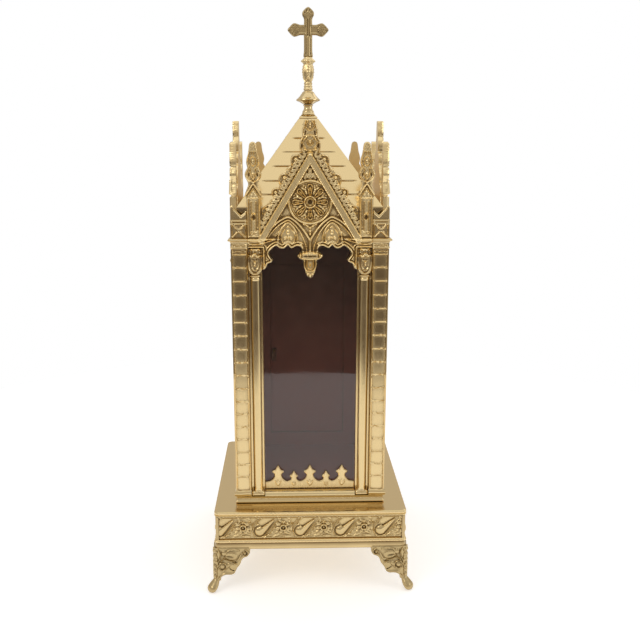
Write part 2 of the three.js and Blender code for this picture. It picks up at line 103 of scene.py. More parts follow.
def add_piece(name, mesh, material, body, nodes, turns=0):
    """Shows a mesh in the place of CAD nodes, turned about +Z by quarter turns and riding on a CAD body."""
    piece = bpy.data.objects.new(name, mesh)
    bpy.context.scene.collection.objects.link(piece)
    piece.rotation_euler.z = turns * TURN / 4
    bpy.context.view_layer.update()
    if not mesh.materials:
        mesh.materials.append(material)
    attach(piece, body)
    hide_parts(*nodes)
    return piece


def joined(name, meshes):
    """One mesh that holds several closed shells, with the hollowness of each kept."""
    points, faces, shade, start = [], [], [], 0
    for mesh in meshes:
        xyz = np.empty(len(mesh.vertices) * 3)
        mesh.vertices.foreach_get("co", xyz)
        points.append(xyz.reshape(-1, 3) / MM)
        faces += [[start + v for v in face.vertices] for face in mesh.polygons]
        layer = mesh.attributes.get("hollow")
        values = np.zeros(len(mesh.vertices), dtype=np.float32)
        if layer:
            layer.data.foreach_get("value", values)
        shade.append(values)
        start += len(mesh.vertices)
        bpy.data.meshes.remove(mesh)
    whole = new_mesh(name, np.concatenate(points), faces)
    set_hollow(whole, np.concatenate(shade))
    return whole


CHAMBER_SHADE = 3.0  # painted shade: the hollowness that darkens metal facing the dark chamber


def set_hollow(mesh, values):
    """Stores how deep each point sits below its surroundings, from -1 on a crest to 1 in a recess."""
    layer = mesh.attributes.new("hollow", "FLOAT", "POINT")
    layer.data.foreach_set("value", np.asarray(values, dtype=np.float32))


def along_axis(mesh, axis):
    """Each vertex's coordinate along axis 0, 1 or 2, in millimetres."""
    return np.array([vertex.co[axis] for vertex in mesh.vertices]) / MM


def quarter_turned(mesh, turns=1):
    """Turns a mesh about +Z by quarter turns."""
    mesh.transform(Matrix.Rotation(turns * TURN / 4, 4, "Z"))
    return mesh


def on_four_sides(mesh):
    """A mesh and its three copies turned round +Z."""
    return [mesh] + [quarter_turned(mesh.copy(), turns) for turns in (1, 2, 3)]


def mirrored(mesh, name):
    """The mesh reflected in x."""
    twin = mesh.copy()
    twin.name = name
    twin.transform(Matrix.Scale(-1, 4, (1, 0, 0)))
    twin.flip_normals()
    return twin


def spline(points, per):
    """A Catmull-Rom curve with `per` steps to a span. A point given twice is a corner."""
    pts = np.asarray(points, dtype=float)
    count = len(pts)
    out = []
    for i in range(count - 1):
        a, b = pts[i], pts[i + 1]
        if np.allclose(a, b):
            continue
        before = pts[i - 1] if i > 0 else a
        after = pts[i + 2] if i + 2 < count else b
        for t in np.arange(per) / per:
            out.append(0.5 * (2 * a + (b - before) * t + (2 * before - 5 * a + 4 * b - after) * t ** 2
                              + (3 * a - before - 3 * b + after) * t ** 3))
    return np.array(out + [pts[-1]])


def arc(centre, radius, start, end, count):
    """Points on a circle from start to end degrees."""
    angles = np.radians(np.linspace(start, end, count))
    return np.stack([centre[0] + radius * np.cos(angles), centre[1] + radius * np.sin(angles)], axis=1)


def level(loop, z):
    """A loop of (x, y) points set at height z."""
    return np.column_stack([loop, np.full(len(loop), z)])


def loft(name, loops, ring=False, smooth_below=40):
    """A closed body through a stack of equal loops, [loop, point, xyz]. A ring joins its last loop to its
    first."""
    loops = np.asarray(loops)
    rows, count = loops.shape[:2]
    faces = []
    for row in range(rows if ring else rows - 1):
        base, above = row * count, (row + 1) % rows * count
        for i in range(count):
            j = (i + 1) % count
            faces.append((base + i, base + j, above + j, above + i))
    if not ring:
        faces.append(tuple(range(count - 1, -1, -1)))
        faces.append(tuple(range((rows - 1) * count, rows * count)))
    return new_mesh(name, loops.reshape(-1, 3), faces, smooth_below)


def turned(name, profile, around=64, swell=None, smooth_below=40):
    """A body turned about +Z from [radius, z] points, where swell(angle, z) adds to the radius."""
    angles = np.arange(around) / around * TURN
    loops = []
    for radius, z in profile:
        r = np.full(around, max(radius, 0.01))
        if swell is not None:
            r = r + swell(angles, z)
        loops.append(level(np.stack([r * np.cos(angles), r * np.sin(angles)], axis=1), z))
    return loft(name, loops, smooth_below=smooth_below)


def rounded_square(half, radius, per_side):
    """Points round a square with rounded corners, anticlockwise."""
    quarter = []
    radius = max(radius, 0.02)
    for angle in np.linspace(0, 90, 5):
        a = math.radians(angle)
        quarter.append((half - radius + radius * math.cos(a), half - radius + radius * math.sin(a)))
    for i in range(1, per_side):
        quarter.append((half - radius - 2 * (half - radius) * i / per_side, half))
    quarter = np.array(quarter)
    out = [quarter]
    for _ in range(3):
        quarter = np.stack([-quarter[:, 1], quarter[:, 0]], axis=1)
        out.append(quarter)
    return np.concatenate(out)


def square_moulding(name, profile, ring=False, per_side=1, swell=None, smooth_below=30):
    """A square body with the profile's [half width, z, corner radius] rows, where swell(along, z) adds to
    the half width at each place along the sides."""
    loops = []
    for half, z, radius in profile:
        loop = rounded_square(half, radius, per_side)
        if swell is not None:
            along = np.where(np.abs(loop[:, 0]) < np.abs(loop[:, 1]), loop[:, 0], loop[:, 1])
            loop = loop * (1 + swell(along, z) / half)[:, None]
        loops.append(level(loop, z))
    return loft(name, loops, ring, smooth_below)


# ---- Relief castings ----
def segment_reach(x, z, a, b):
    """Distance from points to the segment a-b, and how far along it, from 0 to 1."""
    dx, dz = b[0] - a[0], b[1] - a[1]
    t = np.clip(((x - a[0]) * dx + (z - a[1]) * dz) / max(dx * dx + dz * dz, 1e-9), 0, 1)
    return np.hypot(x - a[0] - t * dx, z - a[1] - t * dz), t


def inside_depth(x, z, outline):
    """Distance inside a closed outline, negative outside it."""
    reach = np.full(x.shape, 1e9)
    inside = np.zeros(x.shape, dtype=bool)
    for a, b in zip(outline, np.roll(outline, -1, axis=0)):
        reach = np.minimum(reach, segment_reach(x, z, a, b)[0])
        crosses = (a[1] > z) != (b[1] > z)
        run = (b[0] - a[0]) * (z - a[1]) / (b[1] - a[1] if b[1] != a[1] else 1e-9) + a[0]
        inside ^= crosses & (x < run)
    return np.where(inside, reach, -reach)


class Relief:
    """A height map in millimetres on a grid of (x, z). A mirrored one works on x >= 0 and is reflected at
    the end. Shapes rise to the height given, and the highest wins; cuts go down from what is there."""

    def __init__(self, corner, far_corner, step, mirror=False):
        self.step, self.mirror = step, mirror
        self.x = np.arange(0 if mirror else corner[0], far_corner[0] + step, step)
        self.z = np.arange(corner[1], far_corner[1] + step, step)
        self.X, self.Z = np.meshgrid(self.x, self.z, indexing="ij")
        self.h = np.zeros_like(self.X)

    def window(self, x0, x1, z0, z1):
        i = slice(*np.clip(np.searchsorted(self.x, [x0, x1]), 0, len(self.x)))
        j = slice(*np.clip(np.searchsorted(self.z, [z0, z1]), 0, len(self.z)))
        return i, j

    def around(self, centre, reach):
        """The part of the grid within reach of a point, and how far right of and above it that part
        lies."""
        where = self.window(centre[0] - reach, centre[0] + reach, centre[1] - reach, centre[1] + reach)
        return where, self.X[where] - centre[0], self.Z[where] - centre[1]

    def put(self, where, covered, rise, cut=False):
        """Raises the covered points to rise, or sinks them by it."""
        h = self.h[where]
        if cut:
            self.h[where] = h - np.where(covered, np.maximum(rise, 0), 0)
        else:
            self.h[where] = np.where(covered, np.maximum(h, rise), h)

    def bar(self, a, b, width, top, end_width=None, cut=False, base=0.0):
        """A round-topped bar of half width `width` from a to b, tapering to end_width."""
        end = width if end_width is None else end_width
        most = max(width, end)
        where = self.window(min(a[0], b[0]) - most, max(a[0], b[0]) + most,
                            min(a[1], b[1]) - most, max(a[1], b[1]) + most)
        d, t = segment_reach(self.X[where], self.Z[where], a, b)
        share = d / np.maximum(width + (end - width) * t, 1e-3)
        rise = base + (top - base) * np.sqrt(np.clip(1 - share ** 2, 0, 1))
        self.put(where, share < 1, rise, cut)

    def line(self, points, width, top, end_width=None, cut=False, base=0.0):
        """Bars from point to point, tapering over the whole run."""
        count = len(points) - 1
        end = width if end_width is None else end_width
        for i in range(count):
            w0 = width + (end - width) * i / count
            w1 = width + (end - width) * (i + 1) / count
            self.bar(points[i], points[i + 1], w0, top, w1, cut, base)

    def curves(self, rows, per=4):
        """Smooth lines, each given as its points, its half width, its height and, if it tapers, its end
        width."""
        for points, *size in rows:
            self.line(spline(points, per), *size)

    def dome(self, centre, along, across, top, angle=0.0, cut=False, flat=1.0, base=0.0):
        """An oval boss whose long axis lies at angle degrees."""
        where, x, z = self.around(centre, max(along, across))
        c, s = math.cos(math.radians(angle)), math.sin(math.radians(angle))
        share = ((x * c + z * s) / along) ** 2 + ((z * c - x * s) / across) ** 2
        rise = base + (top - base) * np.clip(1 - share, 0, 1) ** (0.5 * flat)
        self.put(where, share < 1, rise, cut)

    def ring(self, centre, radius, width, top):
        where, x, z = self.around(centre, radius + width)
        off = np.abs(np.hypot(x, z) - radius) / width
        self.put(where, off < 1, top * np.sqrt(np.clip(1 - off ** 2, 0, 1)))

    def leaf(self, root, length, width, angle, top, base=0.3):
        """A pointed leaf with a sunk midrib and ribbed sides, growing from its root at angle degrees."""
        c, s = math.cos(math.radians(angle)), math.sin(math.radians(angle))
        middle = (root[0] + c * length / 2, root[1] + s * length / 2)
        where = self.around(middle, length / 2 + width)[0]
        x, z = self.X[where] - root[0], self.Z[where] - root[1]
        u, v = (x * c + z * s) / length, np.abs(z * c - x * s)
        edge = width * np.sqrt(np.clip(np.sin(np.pi * np.clip(u, 0, 1) ** 0.8), 0, 1)) + 1e-3
        share = v / edge
        rise = base + (top - base) * np.sqrt(np.clip(1 - share ** 2, 0, 1))
        rise -= 0.35 * (top - base) * np.exp(-(v / (0.22 * width)) ** 2)
        rise += 0.12 * (top - base) * np.cos(TURN * (u * 4 + share * 1.2))
        self.put(where, (share < 1) & (u > 0) & (u < 1), rise)

    def scroll(self, centre, radius, start, turns, width, top):
        """A line that winds in anticlockwise from its outer radius to a bead at its eye."""
        t = np.linspace(0, 1, int(14 * turns) + 2)
        angle = math.radians(start) + TURN * turns * t
        r = radius * (1 - 0.82 * t)
        points = np.stack([centre[0] + r * np.cos(angle), centre[1] + r * np.sin(angle)], axis=1)
        self.line(points, width, top, width * 0.7)
        self.dome(centre, width * 1.5, width * 1.5, top * 1.15)

    def finished(self):
        """The whole grid and its heights, reflected where it is mirrored."""
        if not self.mirror:
            return self.x, self.z, self.h
        x = np.concatenate([-self.x[:0:-1], self.x])
        return x, self.z, np.concatenate([self.h[:0:-1], self.h])


def each(draw, rows, **same):
    """Calls draw once for each row, with the row's values and whatever is the same for all."""
    for row in rows:
        draw(*row, **same)


def blurred(h, reach):
    """A box blur, run twice."""
    out = h
    for _ in range(2):
        for axis in (0, 1):
            pad = [(reach, reach) if k == axis else (0, 0) for k in (0, 1)]
            total = np.cumsum(np.pad(out, pad, mode="edge"), axis=axis)
            total = np.insert(total, 0, 0, axis=axis)
            size = out.shape[axis]
            ahead = np.take(total, np.arange(size) + 2 * reach + 1, axis=axis)
            out = (ahead - np.take(total, np.arange(size), axis=axis)) / (2 * reach + 1)
    return out


HOLLOW_GAIN = 1.25  # hollowness for each millimetre below the surroundings


def hollowness(h, step, reach_mm=1.3):
    """From -1 on a crest to 1 in a recess."""
    reach = max(1, int(round(reach_mm / step)))
    return np.clip((blurred(h, reach) - h) * HOLLOW_GAIN, -1, 1)


def contour_cells(depth):
    """Marching squares: every cell's polygon as vertex numbers, and the outline's directed edges. Numbers
    below depth.size are grid points, and the rest are crossings on grid lines along x and then along z."""
    nx, nz = depth.shape
    ids = np.arange(nx * nz).reshape(nx, nz)
    along_x = nx * nz + ids
    along_z = 2 * nx * nz + ids
    inside = depth > 0
    corner_ids = [ids[:-1, :-1], ids[1:, :-1], ids[1:, 1:], ids[:-1, 1:]]
    edge_ids = [along_x[:-1, :-1], along_z[1:, :-1], along_x[:-1, 1:], along_z[:-1, :-1]]
    flags = [inside[:-1, :-1], inside[1:, :-1], inside[1:, 1:], inside[:-1, 1:]]
    code = sum(flag.astype(int) << k for k, flag in enumerate(flags))
    polygons, outline = [], []
    for case in range(1, 16):
        at = code == case
        if not at.any():
            continue
        walk = []
        for k in range(4):
            here, ahead = case >> k & 1, case >> (k + 1) % 4 & 1
            if here:
                walk.append((corner_ids[k][at], False))
            if here != ahead:
                walk.append((edge_ids[k][at], True))
        polygons.append(np.stack([ids_ for ids_, _ in walk], axis=1))
        for k, (ids_, on_edge) in enumerate(walk):
            after, after_edge = walk[(k + 1) % len(walk)]
            if on_edge and after_edge:
                outline.append(np.stack([ids_, after], axis=1))
    return polygons, np.concatenate(outline)


def closed_loops(edges):
    """Splits directed edges into closed loops of vertex numbers."""
    following = dict(edges.tolist())
    loops = []
    while following:
        start, here = following.popitem()
        loop = [start]
        while here != start:
            loop.append(here)
            here = following.pop(here)
        loops.append(loop)
    return loops


def within(outline):
    """The depth of points inside an outline, as casting() wants it."""
    return lambda x, z: inside_depth(x, z, outline)


def casting(name, relief, depth, face, back, rim=0.5, both_sides=False):
    """A flat casting that faces -Y: its relief stands on the plane Y = -face, its outline is where depth(x,
    z) is above 0, and it is flat at Y = -back, or in relief there too. rim rounds the outline's edge."""
    x, z, h = relief.finished()
    X, Z = np.meshgrid(x, z, indexing="ij")
    d = depth(np.abs(X) if relief.mirror else X, Z)
    d[[0, -1], :] = np.minimum(d[[0, -1], :], -0.01)
    d[:, [0, -1]] = np.minimum(d[:, [0, -1]], -0.01)
    hollow = hollowness(h, relief.step)
    h = h - rim * (1 - np.clip(d / (1.6 * rim), 0, 1)) ** 2
    polygons, outline = contour_cells(d)
    used = np.unique(np.concatenate([p.ravel() for p in polygons]))
    size, count = d.size, len(used)
    base, kind = used % size, used // size
    i, j = base // len(z), base % len(z)
    i2, j2 = i + (kind == 1), j + (kind == 2)
    share = np.where(kind > 0, d[i, j] / np.where(kind > 0, d[i, j] - d[i2, j2], 1), 0)
    px, pz, ph, shade = (v[i, j] * (1 - share) + v[i2, j2] * share for v in (X, Z, h, hollow))
    renumber = np.full(3 * size, -1)
    renumber[used] = np.arange(count)
    front = np.column_stack([px, -face - ph, pz])
    faces = [row for p in polygons for row in renumber[p].tolist()]
    edges = renumber[outline]
    if both_sides:
        rear = np.column_stack([px, -back + ph, pz])
        faces += [[v + count for v in reversed(face_)] for face_ in faces]
        walls = [(b, a, a + count, b + count) for a, b in edges.tolist()]
        shade = np.concatenate([shade, shade])
    else:
        loops = closed_loops(edges)
        rim_ids = np.concatenate(loops)
        spot = {v: count + k for k, v in enumerate(rim_ids.tolist())}
        rear = np.column_stack([px[rim_ids], np.full(len(rim_ids), -back), pz[rim_ids]])
        faces += [[spot[v] for v in reversed(loop)] for loop in loops]
        walls = [(b, a, spot[a], spot[b]) for a, b in edges.tolist()]
        shade = np.concatenate([shade, np.zeros(len(rim_ids))])
    mesh = new_mesh(name, np.concatenate([front, rear]), faces + walls, 55)
    set_hollow(mesh, shade)
    return mesh


# ---- Gable castings ----
ROSE = (0, 302.7)
RAKE_FOOT, RAKE_APEX = 38.3, 339.5
RAKE_LENGTH = math.hypot(RAKE_FOOT, RAKE_APEX - ABACUS_TOP)
PINNACLE_X = 41.3

# Half widths and heights of a pinnacle's gablet and of the two tiers of its bud.
PINNACLE_EDGE = [
    (5.1, 298.4), (5.1, 298.4), (5.1, 305.6), (5.1, 305.6), (6.1, 308.2), (5.2, 311), (4.2, 313.6),
    (3.6, 315.9), (4.6, 318.4), (5.8, 321), (6.0, 323.2), (5.1, 325.6), (4.1, 327.3), (4.6, 329.6),
    (4.8, 331.8), (4.3, 334.6), (3.5, 337), (2.9, 340.6), (2.5, 343.6), (1.6, 345.2),
]

# The right half of the outline, from the pendant's tip up round to the top of the finial.
GABLE_EDGE = [
    (0, 246.5), (1.6, 247.4), (2.9, 249.3), (3.7, 251.6), (3.7, 252.8), (4.7, 255), (5.3, 257.4),
    (5.2, 259.6), (5.2, 259.6), (7.2, 260.2), (8.8, 261.6), (9.6, 263.2), (8.3, 265), (6.2, 266.5),
    (6.2, 266.5), (6.3, 268.4), (7.2, 269.9), (9.2, 270.4), (11.2, 269.8), (13, 268.8), (14.6, 269),
    (16.4, 271), (16.4, 271), (18.1, 269.4), (19.8, 268.4), (22.6, 269), (25.2, 270.6), (25.2, 270.6),
    (27.6, 269), (29.6, 266.9), (30.4, 264.8), (29.2, 262.4), (27.3, 260.4), (27.3, 260.4), (28.6, 258.2),
    (31.3, 257.2), (32.1, 255), (33.5, 253.3), (35.3, 252.7), (35.3, 252.7), (35.3, ABACUS_LOW),
    (35.3, ABACUS_LOW), (46.2, ABACUS_LOW), (46.2, ABACUS_LOW),
    *[(PINNACLE_X + half, z) for half, z in PINNACLE_EDGE], (PINNACLE_X, 345.8),
    *[(PINNACLE_X - half, z) for half, z in PINNACLE_EDGE[::-1]], (35.2, 297.4), (34.2, 299), (31.4, 301),
    (29.8, 303.4), (28.2, 304.6), (26.8, 304.9), (27.2, 306.8), (28.1, 309), (27.8, 311.4), (25.6, 313.2),
    (23.2, 313.2), (22.2, 314.6), (22.9, 316.8), (23, 319.4), (22, 322), (20.4, 323.4), (18.4, 324.2),
    (17.6, 325.8), (16.4, 327.6), (14.2, 328.6), (14, 330.6), (14.1, 333.2), (13.3, 335.8), (11.4, 337),
    (8.6, 337.2), (7.2, 338.2), (7.5, 340.4), (7.8, 343.4), (7.4, 346), (6.2, 348.2), (5.5, 349.8),
    (5.9, 352.6), (5.7, 355), (4.8, 357.6), (4.5, 359.8), (3.7, 361.4),
]


def half_outline(points, low_end, high_end):
    """A half outline's curve, closed well behind the middle so that only its own edge counts."""
    behind = -4
    curve = spline(points, 4)
    return np.concatenate([[(behind, low_end)], curve, [(behind, high_end)]])


def rake_point(along, inset):
    """A point on the right-hand rake: along it from its foot, 0 to 1, and in from its outer edge."""
    across, rise = RAKE_FOOT / RAKE_LENGTH, (RAKE_APEX - ABACUS_TOP) / RAKE_LENGTH
    x, z = RAKE_FOOT * (1 - along), ABACUS_TOP + (RAKE_APEX - ABACUS_TOP) * along
    return x - inset * rise, z - inset * across


def draw_rakes(r):
    """A broad band of three shallow flutes between a bright outer bead and a thinner inner one."""
    for inset, width, top in [(1.6, 1.5, 2.5), (2.8, 1.5, 2.5), (4.0, 1.5, 2.5), (0.5, 0.6, 3.2),
                              (4.95, 0.5, 3.0)]:
        r.bar(rake_point(-0.02, inset), rake_point(1.0, inset), width, top)


def draw_rose(r):
    """A small pierced hub, eight long looped petals with a sprig of leaves between each two, and a plain
    ring."""
    cx, cz = ROSE
    r.dome(ROSE, 14.6, 14.6, 0.4, flat=0.3)
    each(r.ring, [(ROSE, 15.5, 0.95, 1.9), (ROSE, 14.0, 0.4, 1.0)])
    petal = [(5.2, 0.6), (8.4, 1.1), (11, 1.6), (12.5, 1.0), (12.8, 0)]
    petal += [(out, -aside) for out, aside in petal[-2::-1]]
    for k in range(16):
        lean = 22.5 * k
        a = math.radians(lean)

        def spot(out, aside=0):
            return (cx + out * math.cos(a) - aside * math.sin(a),
                    cz + out * math.sin(a) + aside * math.cos(a))

        if k % 2 == 0:
            r.line(spline([spot(*point) for point in petal], 3), 0.55, 2.3)
            r.dome(spot(9.6), 2.2, 0.6, 1.6, lean)
        else:
            r.leaf(spot(5.8), 4.6, 0.9, lean, 1.9)
            for spread in (-34, 34):
                r.leaf(spot(9.4), 4.0, 0.8, lean + spread, 1.8)
            r.dome(spot(12.6), 0.7, 0.9, 1.2, lean)
    each(r.ring, [(ROSE, 4.1, 0.7, 2.4), (ROSE, 2.7, 0.45, 1.6)])
    r.dome(ROSE, 1.7, 1.7, 2.2, cut=True)


def draw_lancets(r):
    """Two pointed arches, each a pair of rolls round a cusped panel with a leaf in a teardrop. The rolls
    run down together to the pendant."""
    outer = [(33.9, 276.4), (30, 281.8), (24.8, 287.3), (20.4, 290.3), (16.2, 291.9), (13, 290.5), (9, 287.2),
             (5.2, 282.8), (2, 277.9), (0.2, 274), (0, 266)]
    middle = [(31.2, 276.6), (27.9, 281), (23.6, 285.3), (19.8, 288), (16.2, 289.5), (13.2, 287.9),
              (9.9, 284.4), (6.9, 280), (4.4, 274.8), (2.9, 270), (2.4, 265.6)]
    inner = [(24, 271.8), (23.4, 277.5), (21.8, 282.4), (19.2, 285.8), (16.2, 287.6), (13.2, 285.6),
             (10.6, 281.6), (9.5, 277.4), (9.2, 274.2), (7.2, 272.6), (5.6, 269.6), (4.9, 265.4)]
    drop = [(16.2, 285.3), (16.2, 285.3), (19.6, 281.8), (21.2, 277.8), (20.8, 274.4), (19, 272.2),
            (16.2, 273.2), (13.4, 272.2), (11.5, 274.6), (11.2, 278.4), (13, 282.2), (16.2, 285.3)]
    r.dome((16.2, 279.5), 6.2, 9, 0.45, flat=0.4)
    r.curves([(inner, 0.62, 1.5), (middle, 0.6, 1.6), (outer, 0.85, 2.2)])
    r.curves([(drop, 0.5, 1.5)], 3)
    each(r.dome, [((16.2, 280.9), 2.2, 1.3, 1.6, 90), ((14.1, 276.4), 1.7, 1.2, 1.6, 60),
                  ((18.3, 276.4), 1.7, 1.2, 1.6, 120), ((16.2, 276.8), 0.8, 0.8, 1.6)])
    r.bar((16.2, 273.6), (16.2, 280), 0.35, 1.2)
    each(r.leaf, [((x, 277.6), 5.5, 0.9, tilt, 1.0, 0.1)
                  for x, tilt in [(23.6, 120), (26.2, 130), (9.3, 62)]])


def draw_spandrels(r):
    """Small leaf sprays in the field: under the apex, beside the rose and between the arches."""
    each(r.leaf, [((0, 319.4), 7.5, 1.9, 90, 1.4), ((0.6, 320), 5.4, 1.3, 52, 1.4),
                  ((3.4, 319), 4.6, 1.2, 78, 1.4), ((0.4, 325.5), 4.6, 1.2, 65, 1.4),
                  ((6.3, 317), 3.4, 1.0, 100, 1.4), ((24.4, 291.6), 4.6, 0.9, 84, 1.1)])
    corners = [(24.2, 297.6), (28.6, 288.6), (20.6, 293.2)]
    r.line(corners + corners[:1], 0.35, 0.9)
    r.bar((27.2, 284.7), (31.6, 279.5), 0.35, 0.9)
    each(r.dome, [((0, 283.9), 1.1, 1.1, 1.5), ((2.1, 285.3), 1.5, 0.9, 1.5, 35), ((0, 280.6), 0.8, 2.6, 1.5),
                  ((4.3, 286.4), 1.3, 0.7, 1.5, 25)])


def draw_crockets(r):
    """Four hooked leaves that climb the outside of the rake, each with a ball in its hook, small leaves all
    the way up the rake, and plain lobes between them."""
    hooks = [((10.5, 333.4), [(13.3, 329.4), (13.4, 332.8), (12.4, 335.4), (10.2, 336.2), (7.8, 335.6)]),
             ((18.6, 320.3), [(21.6, 315.6), (22.3, 318.8), (21.2, 321.6), (19.2, 322.8), (16.9, 322.6)]),
             ((25.2, 309.8), [(26.4, 305.8), (27.5, 308.6), (27, 311.2), (25.2, 312.4), (22.8, 312.2)]),
             ((31.4, 297.6), [(34.6, 294.2), (34.8, 297), (33, 299), (30.6, 300.4), (28.6, 300.2)])]
    for (x, z), hook in hooks:
        r.dome((x, z), 1.5, 1.5, 2.2)
        r.line(spline(hook, 4), 0.55, 2.3, 0.4)
        r.leaf((x - 0.4, z - 1.6), 5.2, 1.3, -60, 1.7, 0.7)
    for k in range(19):
        for lean in (-8, 62):
            r.leaf(rake_point(0.03 + 0.05 * k, -0.4), 5.4, 1.1, lean, 1.9, 0.8)
    for x, z in [(15.2, 327.2), (20.6, 314.4), (27.2, 303.4), (33, 290.6), (34.2, 284.6), (29.4, 299.6)]:
        r.dome((x, z), 2.3, 1.3, 2.0, -60)
        r.bar((x - 0.9, z + 1.6), (x + 0.9, z - 1.6), 0.3, 0.5, cut=True)


def draw_finial(r):
    """Two tiers of leaves folded round a bud, over a knot at the apex of the rakes."""
    r.curves([([(3.4, 361), (4.0, 357.6), (5.1, 354), (5.1, 351.4), (4.6, 349.8)], 0.65, 2.4),
              ([(1.3, 361), (2.8, 357.4), (2.2, 354.8), (0, 353.6)], 0.55, 2.6),
              ([(5.6, 348.6), (6.9, 345.6), (7.0, 341.8), (6.6, 338.4)], 0.7, 2.4),
              ([(2.4, 349.4), (4.7, 346.6), (4.9, 343.4), (3.6, 341.4)], 0.6, 2.5),
              ([(2.2, 347.2), (1.9, 344.4), (0, 343)], 0.5, 2.7),
              ([(4.4, 340.4), (2.6, 339.9), (0, 339.8)], 0.7, 2.6),
              ([(4.4, 350.2), (2.2, 349.9), (0, 350.6)], 0.7, 2.6)])
    each(r.dome, [((0, 357.2), 1.1, 2.3, 2.5), ((0, 346), 1.1, 1.9, 2.5)])
    each(r.dome, [((3.4, 352.2), 0.6, 1.7, 0.8), ((5.9, 343), 0.6, 1.7, 0.8)], cut=True)
    r.dome((0, 337.6), 3.0, 1.7, 3.1)
    r.bar((0.2, 338), (2.2, 337.4), 0.3, 0.8, cut=True)


def draw_pinnacles(r):
    """A panelled shaft with a niche between two rolls, a gablet whose bars cross at its peak, and a bud
    whose leaves fold round a bead in each tier."""
    x = PINNACLE_X

    def placed(points, side=1):
        return [(x + side * aside, z) for aside, z in points]

    for side in (-1, 1):
        for ends, width, top in [
                ([(4.2, ABACUS_TOP + 1), (4.2, 305.4)], 0.85, 2.8),
                 ([(1.7, ABACUS_TOP + 5), (1.7, 303)], 0.45, 2.3),
                ([(5.5, 307.9), (-0.9, 317.6)], 0.75, 3.2), ([(3.9, 306.8), (0, 313)], 0.4, 2.0),
                ([(0.9, 336.8), (0.6, 342.4)], 0.4, 2.1)]:
            r.bar(*placed(ends, side), width, top)
        for points, width, top in [
                ([(0.9, 317.4), (3.6, 319.2), (5.2, 322.4), (3.6, 326.8)], 0.65, 2.4),
                ([(1.7, 326.8), (1.9, 322.8), (0, 318.8)], 0.5, 2.3),
                ([(2.9, 328), (4.0, 331.6), (3.3, 335.8), (2.2, 340.4), (1.5, 344.6)], 0.6, 2.4),
                ([(0, 328.6), (1.8, 330.4), (1.7, 333.6), (0, 335.4)], 0.45, 2.3)]:
            r.line(spline(placed(points, side), 4), width, top)
        r.ring((x + side * 1.5, 280.2), 0.9, 0.4, 1.9)
        r.dome((x + side * 1.5, 308.4), 0.9, 0.9, 1.9)
        r.dome((x + side * 3.2, 322.4), 0.5, 1.8, 0.7, cut=True)
    each(r.dome, [((x, 310.8), 0.9, 1.2, 2.0), ((x, 322.6), 0.9, 2.1, 2.0), ((x, 331.9), 1.0, 1.7, 2.0)])
    niche = [(-1.4, 289.4), (-1.4, 292.6), (0, 295), (1.4, 292.6), (1.4, 289.4)]
    r.line(spline(placed(niche), 4), 0.4, 2.0)
    r.dome((x, 291.6), 0.9, 2.1, 1.5, cut=True)
    for z, top in [(277.6, 2.2), (305.8, 1.9)]:
        r.bar((x - 4.8, z), (x + 4.8, z), 0.7, top)


def draw_string_course(r):
    """A fat upper roll, a thinner one that bellies down over the column, and a flat abacus below it."""
    rise = (r.Z - ABACUS_LOW) / (ABACUS_TOP - ABACUS_LOW)
    over_column = (rise > 0) & (rise < 0.9) & (np.abs(r.X) > 35)
    r.h[over_column] = np.maximum(r.h[over_column], 1.0 + 2.4 * rise[over_column] ** 2)
    r.curves([([(46.6, 275.2), (40, 275.2), (34, 275.3), (28, 275.8), (22, 276)], 1.25, 3.2, 0.5),
              ([(46.4, 273.6), (44.4, 272.3), (40.8, 271.9), (36.4, 272.3), (31.4, 273.8), (26, 275.4)],
                0.9, 3.1, 0.5)])
    r.bar((46, 269.9), (35.4, 269.9), 0.75, 2.3)


def draw_pendant(r):
    """A bud of folded leaves under a broad collar with an eye-shaped slot."""
    r.dome((0, 254.6), 5.7, 9, 2.9)
    r.curves([([(4.3, 259.6), (4.5, 256.4), (3.3, 252.8)], 0.95, 3.9),
              ([(2.3, 259.6), (2.4, 256), (1.5, 254), (0, 253.4)], 0.6, 4.3),
              ([(3.6, 252.4), (0, 252)], 0.8, 4.0)])
    each(r.dome, [((0, 256.6), 0.9, 1.7, 4.5), ((1.9, 249.9), 1.5, 1.9, 3.6, 60),
                  ((0, 248.6), 1.5, 2.1, 3.7)])
    r.dome((0, 263.1), 9.9, 3.9, 3.5, flat=0.5)
    r.curves([([(0, 260.9), (5, 261.1), (8.2, 262.4)], 0.95, 4.2, 0.7),
              ([(0, 265.7), (4.4, 265.5), (6.4, 264.7)], 0.95, 4.1, 0.7)])
    r.dome((7.3, 263.4), 1.0, 1.8, 4.3)
    r.bar((0, 263.3), (4.2, 263.3), 0.6, 1.4, 0.3, cut=True)
    r.dome((1.5, 263.9), 1.0, 0.6, 4.2)
    r.bar((5.9, 264.6), (6.1, 262.2), 0.28, 0.8, cut=True)


